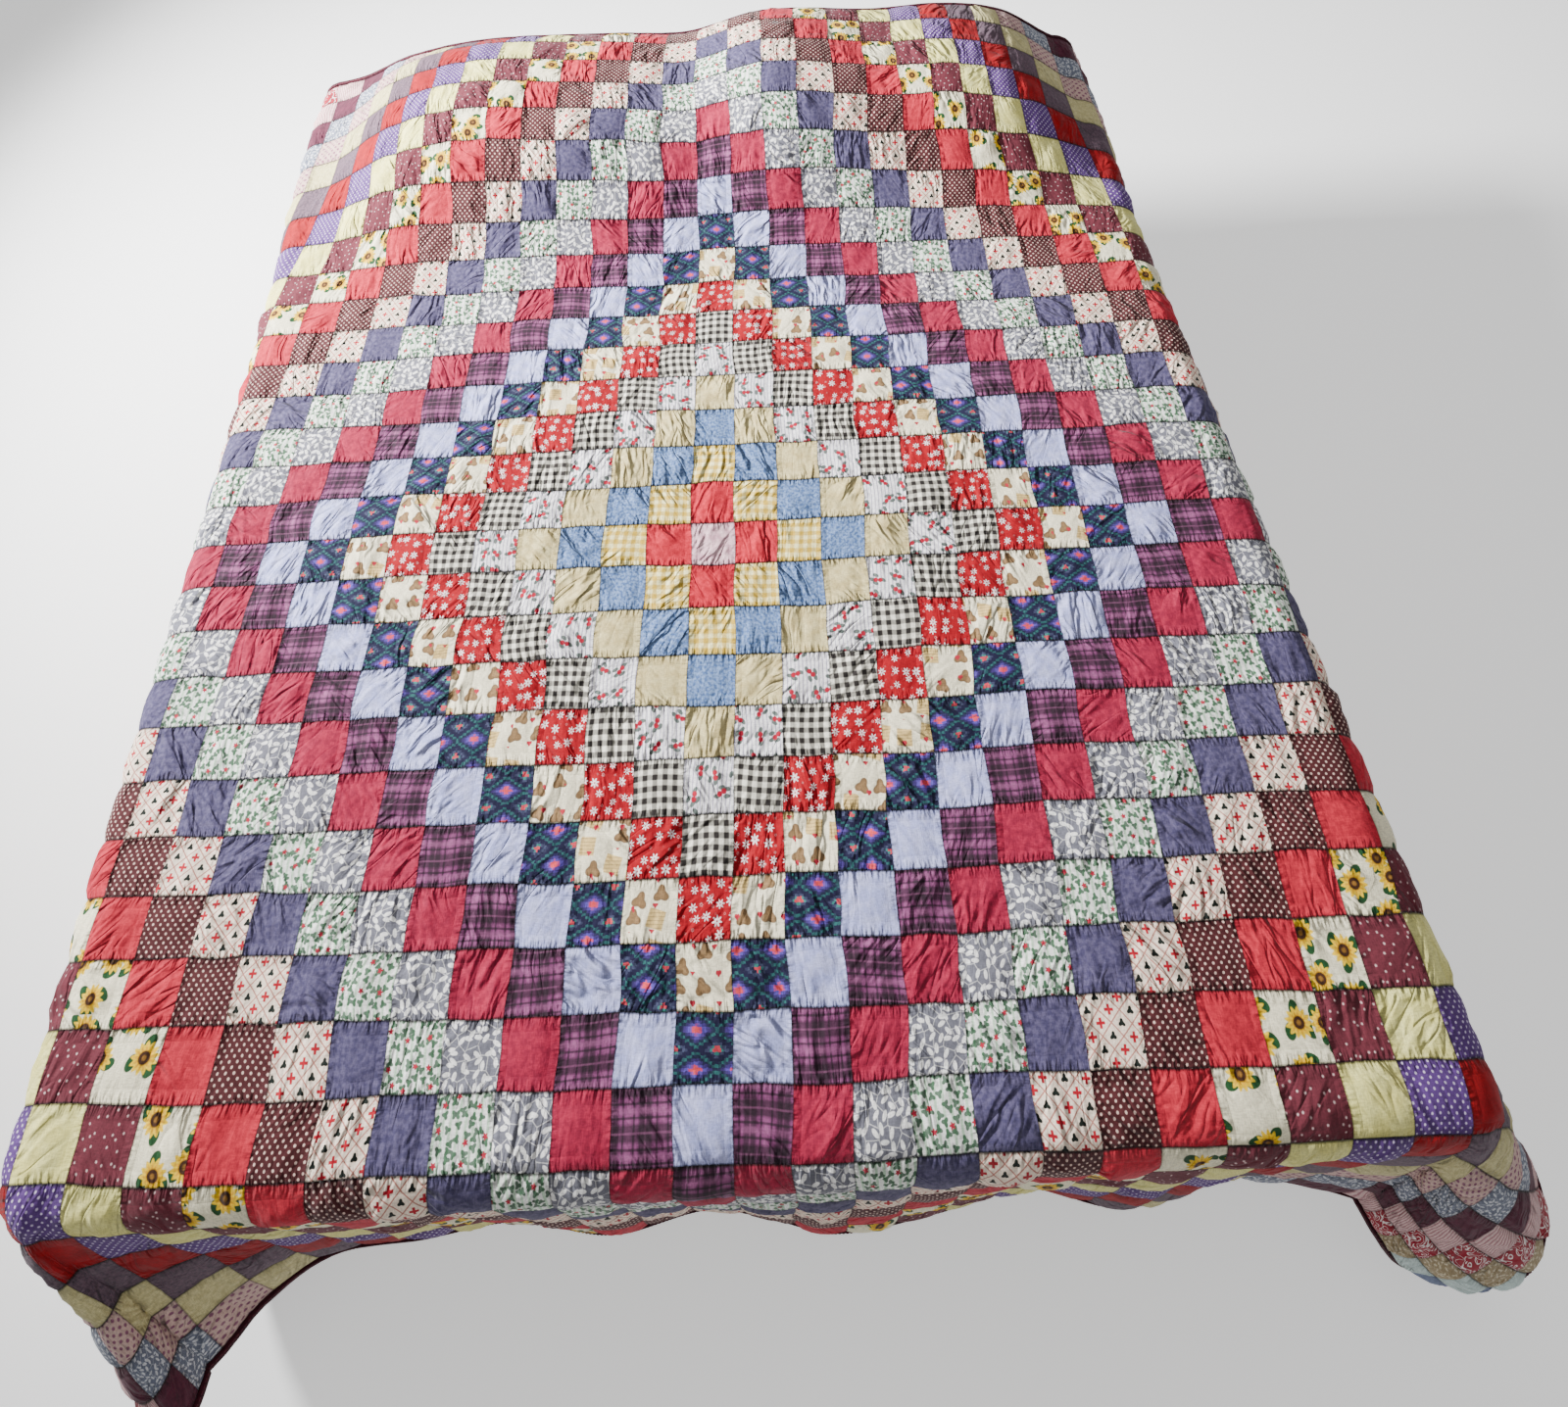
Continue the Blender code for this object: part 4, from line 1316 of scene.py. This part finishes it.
def stitch_row_tree() -> bpy.types.NodeTree:
    """Node tree that lays a stitch at even steps along a loop of edges.

    Returns:
        The tree, with inputs for pitch, length, thickness and thread.
    """
    tree = bpy.data.node_groups.new("stitch_row", "GeometryNodeTree")
    face = tree.interface
    face.new_socket("Geometry", in_out="INPUT", socket_type="NodeSocketGeometry")
    for name in ("Pitch", "Length", "Thickness"):
        face.new_socket(name, in_out="INPUT", socket_type="NodeSocketFloat")
    face.new_socket("Thread", in_out="INPUT", socket_type="NodeSocketMaterial")
    face.new_socket("Geometry", in_out="OUTPUT", socket_type="NodeSocketGeometry")
    given = tree.nodes.new("NodeGroupInput").outputs
    line = add(tree, "GeometryNodeMeshToCurve", given["Geometry"])
    steps = add(tree, "GeometryNodeResampleCurve", line)
    steps.node.mode = "LENGTH"
    tree.links.new(given["Pitch"], steps.node.inputs["Length"])
    rod = add(tree, "GeometryNodeMeshCylinder")
    rod.node.inputs["Vertices"].default_value = 6
    tree.links.new(given["Thickness"], rod.node.inputs["Radius"])
    tree.links.new(given["Length"], rod.node.inputs["Depth"])
    tangent = add(tree, "GeometryNodeInputTangent")
    turned = add(tree, "FunctionNodeAlignRotationToVector", axis="Z")
    tree.links.new(tangent, turned.node.inputs["Vector"])
    spread = add(tree, "GeometryNodeInstanceOnPoints", steps)
    tree.links.new(rod, spread.node.inputs["Instance"])
    tree.links.new(turned, spread.node.inputs["Rotation"])
    real = add(tree, "GeometryNodeRealizeInstances", spread)
    sewn = add(tree, "GeometryNodeSetMaterial", real)
    tree.links.new(given["Thread"], sewn.node.inputs["Material"])
    result = tree.nodes.new("NodeGroupOutput")
    tree.links.new(sewn, result.inputs["Geometry"])
    return tree


def baked(made: bpy.types.Object) -> bpy.types.Object:
    """Turn an object with modifiers into a plain mesh with the same name.

    Args:
        made: The object; its modifiers are taken off.

    Returns:
        The same object with its final mesh.
    """
    bpy.context.view_layer.update()
    seen = made.evaluated_get(bpy.context.evaluated_depsgraph_get())
    mesh = bpy.data.meshes.new_from_object(seen)
    made.modifiers.clear()
    made.data = mesh
    return made


def soft_box(name: str, low: Vector, high: Vector, rounding: float, segments: int,
             material: bpy.types.Material, cuts: int, belly: float) -> bpy.types.Object:
    """A stuffed or upholstered block with rounded edges, a little hollow toward its corners.

    Args:
        name: The piece's name.
        low: Lowest corner.
        high: Highest corner.
        rounding: Radius of its edges.
        segments: Faces round an edge.
        material: Its cloth.
        cuts: Cuts across each side.
        belly: How far the sides draw in toward their ends.

    Returns:
        The finished block.
    """
    form = bmesh.new()
    bmesh.ops.create_cube(form, size=1.0)
    for vertex in form.verts:
        vertex.co = [low[k] + (vertex.co[k] + 0.5) * (high[k] - low[k]) for k in range(3)]
    bmesh.ops.bevel(form, geom=form.edges[:], offset=rounding, segments=segments, profile=0.5,
                    affect="EDGES")
    middle, half = (low + high) / 2, (high - low) / 2
    for axis in (0, 1):
        for step in range(1, cuts):
            at = middle[axis] - half[axis] + rounding + (half[axis] - rounding) * 2 * step / cuts
            normal = Vector((axis == 0, axis == 1, 0))
            point = middle.copy()
            point[axis] = at
            bmesh.ops.bisect_plane(form, geom=form.verts[:] + form.edges[:] + form.faces[:],
                                   plane_co=point, plane_no=normal)
    for vertex in form.verts:
        share = [(vertex.co[k] - middle[k]) / half[k] for k in range(3)]
        for axis in (0, 1):
            pull = belly * (share[1 - axis] ** 2 * 0.6 + share[2] ** 2 * 0.4)
            vertex.co[axis] -= math.copysign(pull * share[axis] ** 2, share[axis])
    return form_piece(name, form, material)


def piping(name: str, low: Vector, high: Vector, corner: float, height: float, radius: float,
           material: bpy.types.Material) -> bpy.types.Object:
    """A tape or piping that runs level round a block.

    Args:
        name: The piece's name.
        low: Lowest corner of the rectangle that it runs round.
        high: Highest corner.
        corner: Radius of its corners.
        height: Its height above the floor.
        radius: Half its thickness.
        material: Its cloth.

    Returns:
        The finished piping.
    """
    path = []
    for number, (x, y) in enumerate(((high.x, high.y), (low.x, high.y), (low.x, low.y),
                                     (high.x, low.y))):
        sign_x, sign_y = (1 if x == high.x else -1), (1 if y == high.y else -1)
        centre = Vector((x - sign_x * corner, y - sign_y * corner, height))
        for step in range(9):
            angle = math.pi / 2 * (number + step / 8)
            out = Vector((math.cos(angle), math.sin(angle), 0))
            path.append((centre + out * corner, out))
    around = 10
    points = [at + out * (radius * math.cos(turn)) + Vector((0, 0, radius * math.sin(turn)))
              for at, out in path for turn in np.linspace(0, 2 * math.pi, around, endpoint=False)]
    made = new_piece(name, np.array([tuple(p) for p in points]), tube_faces(len(path), around),
                     [material])
    face_outward(made.data, recalculate=False)
    wrap_print(made)
    return made


@dataclass
class Bed:
    """The plain bed under the quilt: base, mattress and two pillows.

    Attributes:
        mattress_round: Radius of the mattress's edges.
        base_round: Radius of the base's edges.
        tape: Half the thickness of the mattress's edge tape.
        pillow_gap: Room between a pillow and the quilt, in squares.
        seam_height: Height of a pillow's edge, in squares.
        pillows: The node, the middle across and along, and half the width and depth of each.
    """

    drape: Drape = field(default_factory=Drape)
    mattress_round: float = 0.082
    base_round: float = 0.012
    tape: float = 0.0038
    pillow_gap: float = 0.10
    seam_height: float = 0.26
    pillows: tuple[tuple[str, float, float, float, float], ...] = (
        ("pillow_left", -6.05, 12.95, 5.95, 3.25), ("pillow_right", 6.05, 12.95, 5.95, 3.25))

    def make_mattress(self) -> list[bpy.types.Object]:
        """Make the mattress and the tape along its upper and lower edges.

        Returns:
            The mattress first, then the tapes.
        """
        low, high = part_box("mattress")
        cloth, tape = weave(COVER_CLOTH), weave(TAPE_CLOTH)
        made = [soft_box("bed_mattress", low, high, self.mattress_round, 8, cloth, 8, 0.004)]
        inset = self.mattress_round * (1 - math.cos(math.pi / 4)) + 0.003
        for name, height in (("mattress_tape_upper", high.z - inset),
                             ("mattress_tape_lower", low.z + inset)):
            edge = Vector((inset, inset, 0))
            made.append(piping(name, low + edge, high - edge, self.mattress_round - inset * 0.7,
                               height, self.tape, tape))
        return made

    def make_base(self) -> list[bpy.types.Object]:
        """Make the upholstered base with its piped upper and lower edges.

        Returns:
            The base first, then its piping.
        """
        low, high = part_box("bed_base")
        cloth = weave(BASE_CLOTH)
        made = [soft_box("bed_divan", low, high, self.base_round, 4, cloth, 2, 0.0)]
        for name, height in (("divan_piping_upper", high.z - 0.020),
                             ("divan_piping_lower", low.z + 0.030)):
            made.append(piping(name, low, high, self.base_round, height, 0.0030, cloth))
        return made

    def make_pillow(self, name: str, middle_x: float, middle_y: float, half_x: float,
                    half_y: float) -> bpy.types.Object:
        """Make one pillow: flat below, crowned above, drawn in between its corners.

        Args:
            name: The CAD node that it stands for.
            middle_x: Its middle across, in squares.
            middle_y: Its middle along.
            half_x: Half its width.
            half_y: Half its depth.

        Returns:
            The finished pillow.
        """
        form = bmesh.new()
        bmesh.ops.create_cube(form, size=2.0)
        bmesh.ops.subdivide_edges(form, edges=form.edges[:], cuts=23, use_grid_fill=True)
        at = np.array([tuple(v.co) for v in form.verts])
        p, q, s = at.T
        crown = np.sqrt(np.maximum(0, 1 - p ** 4) * np.maximum(0, 1 - q ** 4))
        x = middle_x + half_x * p * (1 - 0.02 * q * q)
        y = middle_y + half_y * q * (1 - 0.035 * (1 - crown))
        floor = 0.10 * (1 - crown)
        room = self.drape.rise(x, y) - self.pillow_gap - floor
        crease = 0.05 * np.maximum(0, ripple(p * 7, q * 5, 51)) * (s > 0) * crown
        seam = self.seam_height
        height = np.minimum(seam + np.maximum(0, room - seam) * crown, room) - crease
        points = self.drape.place(np.stack((x, y, floor + (s + 1) / 2 * height), -1))
        for vertex, point in zip(form.verts, points):
            vertex.co = point
        ticking = bpy.data.materials.get(TICKING.name) or weave(TICKING)
        return form_piece(name + "_stuffed", form, ticking)


@dataclass(frozen=True)
class Studio:
    """Pale floor, soft light from the left, and the camera at the photograph's angle.

    Attributes:
        lens: Focal length in millimetres.
        shift: Shift of the picture upward, in widths of the sensor.
        place: The camera's place.
        angles: Its turns in degrees.
        floor_half: Half the floor's width.
        floor_glow: Light that the pale floor sends back.
        room: Strength of the light from all round.
    """

    lens: float = 21.375
    shift: float = -0.26125
    place: tuple[float, float, float] = (0.1406, -0.8541, 2.2693)
    angles: tuple[float, float, float] = (36.7285, 2.7845, -4.9675)
    floor_half: float = 9.0
    floor_glow: float = 0.55
    room: float = 0.30

    def make_floor(self) -> None:
        """Lay a pale floor a millimetre under the bed."""
        spots = np.array(((-1, -1, 0), (1, -1, 0), (1, 1, 0), (-1, 1, 0))) * self.floor_half
        floor = new_piece("studio_floor", spots - np.array((0.0, 0.0, 0.001)),
                          [[0, 1, 2, 3]], [], smooth=False)
        paint = bpy.data.materials.new("matt_white_floor_paint")
        paint.use_nodes = True
        shader = paint.node_tree.nodes["Principled BSDF"]
        for name, value in (("Base Color", linear("FAFAFA")), ("Emission Color", linear("FAFAFA")),
                            ("Emission Strength", self.floor_glow), ("Roughness", 0.9)):
            shader.inputs[name].default_value = value
        floor.data.materials.append(paint)

    def make_light(self, name: str, place: tuple[float, float, float],
                   aim: tuple[float, float, float], power: float, size: float,
                   spread: float) -> None:
        """Set up one soft light.

        Args:
            name: Its name.
            place: Where it stands.
            aim: What it points at.
            power: Its power in watts.
            size: Its width in metres.
            spread: The angle of its beam in degrees.
        """
        lamp = bpy.data.lights.new(name, "AREA")
        lamp.shape, lamp.size, lamp.energy = "DISK", size, power
        lamp.spread = math.radians(spread)
        made = bpy.data.objects.new(name, lamp)
        made.location = place
        way = Vector(aim) - Vector(place)
        made.rotation_euler = way.to_track_quat("-Z", "Y").to_euler()
        bpy.context.scene.collection.objects.link(made)

    def make_camera(self) -> None:
        """Set the camera."""
        lens = bpy.data.cameras.new("camera")
        lens.lens, lens.sensor_width, lens.sensor_fit = self.lens, 36.0, "HORIZONTAL"
        lens.shift_y = self.shift
        camera = bpy.data.objects.new("camera", lens)
        camera.location = self.place
        camera.rotation_euler = [math.radians(a) for a in self.angles]
        bpy.context.scene.collection.objects.link(camera)
        bpy.context.scene.camera = camera

    def build(self) -> None:
        """Set up the whole studio."""
        self.make_floor()
        self.make_light("key_light", (-3.5, 1.0, 2.6), (0.3, 1.3, 0.7), 300.0, 0.8, 98)
        self.make_light("fill_light", (0.4, 0.2, 4.4), (0.0, 0.0, 0.6), 38.0, 2.5, 180)
        world = bpy.data.worlds.new("soft_room_light")
        world.use_nodes = True
        sky = world.node_tree.nodes["Background"].inputs
        sky["Color"].default_value = (1.0, 1.0, 1.0, 1.0)
        sky["Strength"].default_value = self.room
        bpy.context.scene.world = world
        self.make_camera()


def dress(pieces: Sequence[bpy.types.Object], nodes: Sequence[str] = ()) -> None:
    """Fix pieces to the bed's body, log their faces and hide the CAD nodes that the first one
    replaces.

    Args:
        pieces: The pieces; the first stands for the nodes.
        nodes: The CAD nodes that the first piece replaces.
    """
    for piece in pieces:
        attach(piece, "root")
        LOG.info("%s: %d faces", piece.name, len(piece.data.polygons))
    if nodes:
        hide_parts(*nodes)


def main() -> None:
    """Build the bed, the quilt and the studio in order."""
    logging.basicConfig(level=logging.INFO, format="%(name)s %(message)s")
    bed, quilt = Bed(), Quilt()
    base = bed.make_base()
    dress(base, ["bed_base"])
    mattress = bed.make_mattress()
    dress(mattress, ["mattress"])
    for name, *sizes in bed.pillows:
        pillow = bed.make_pillow(name, *sizes)
        dress([pillow], [name])
    backing = quilt.make_backing()
    dress([backing], ["backing"])
    top = quilt.make_top()
    dress([top], ["patchwork_top"])
    binding, stitches = quilt.make_binding(), quilt.make_stitching()
    dress([binding, stitches], ["binding"])
    Studio().build()


if __name__ == "__main__":
    main()
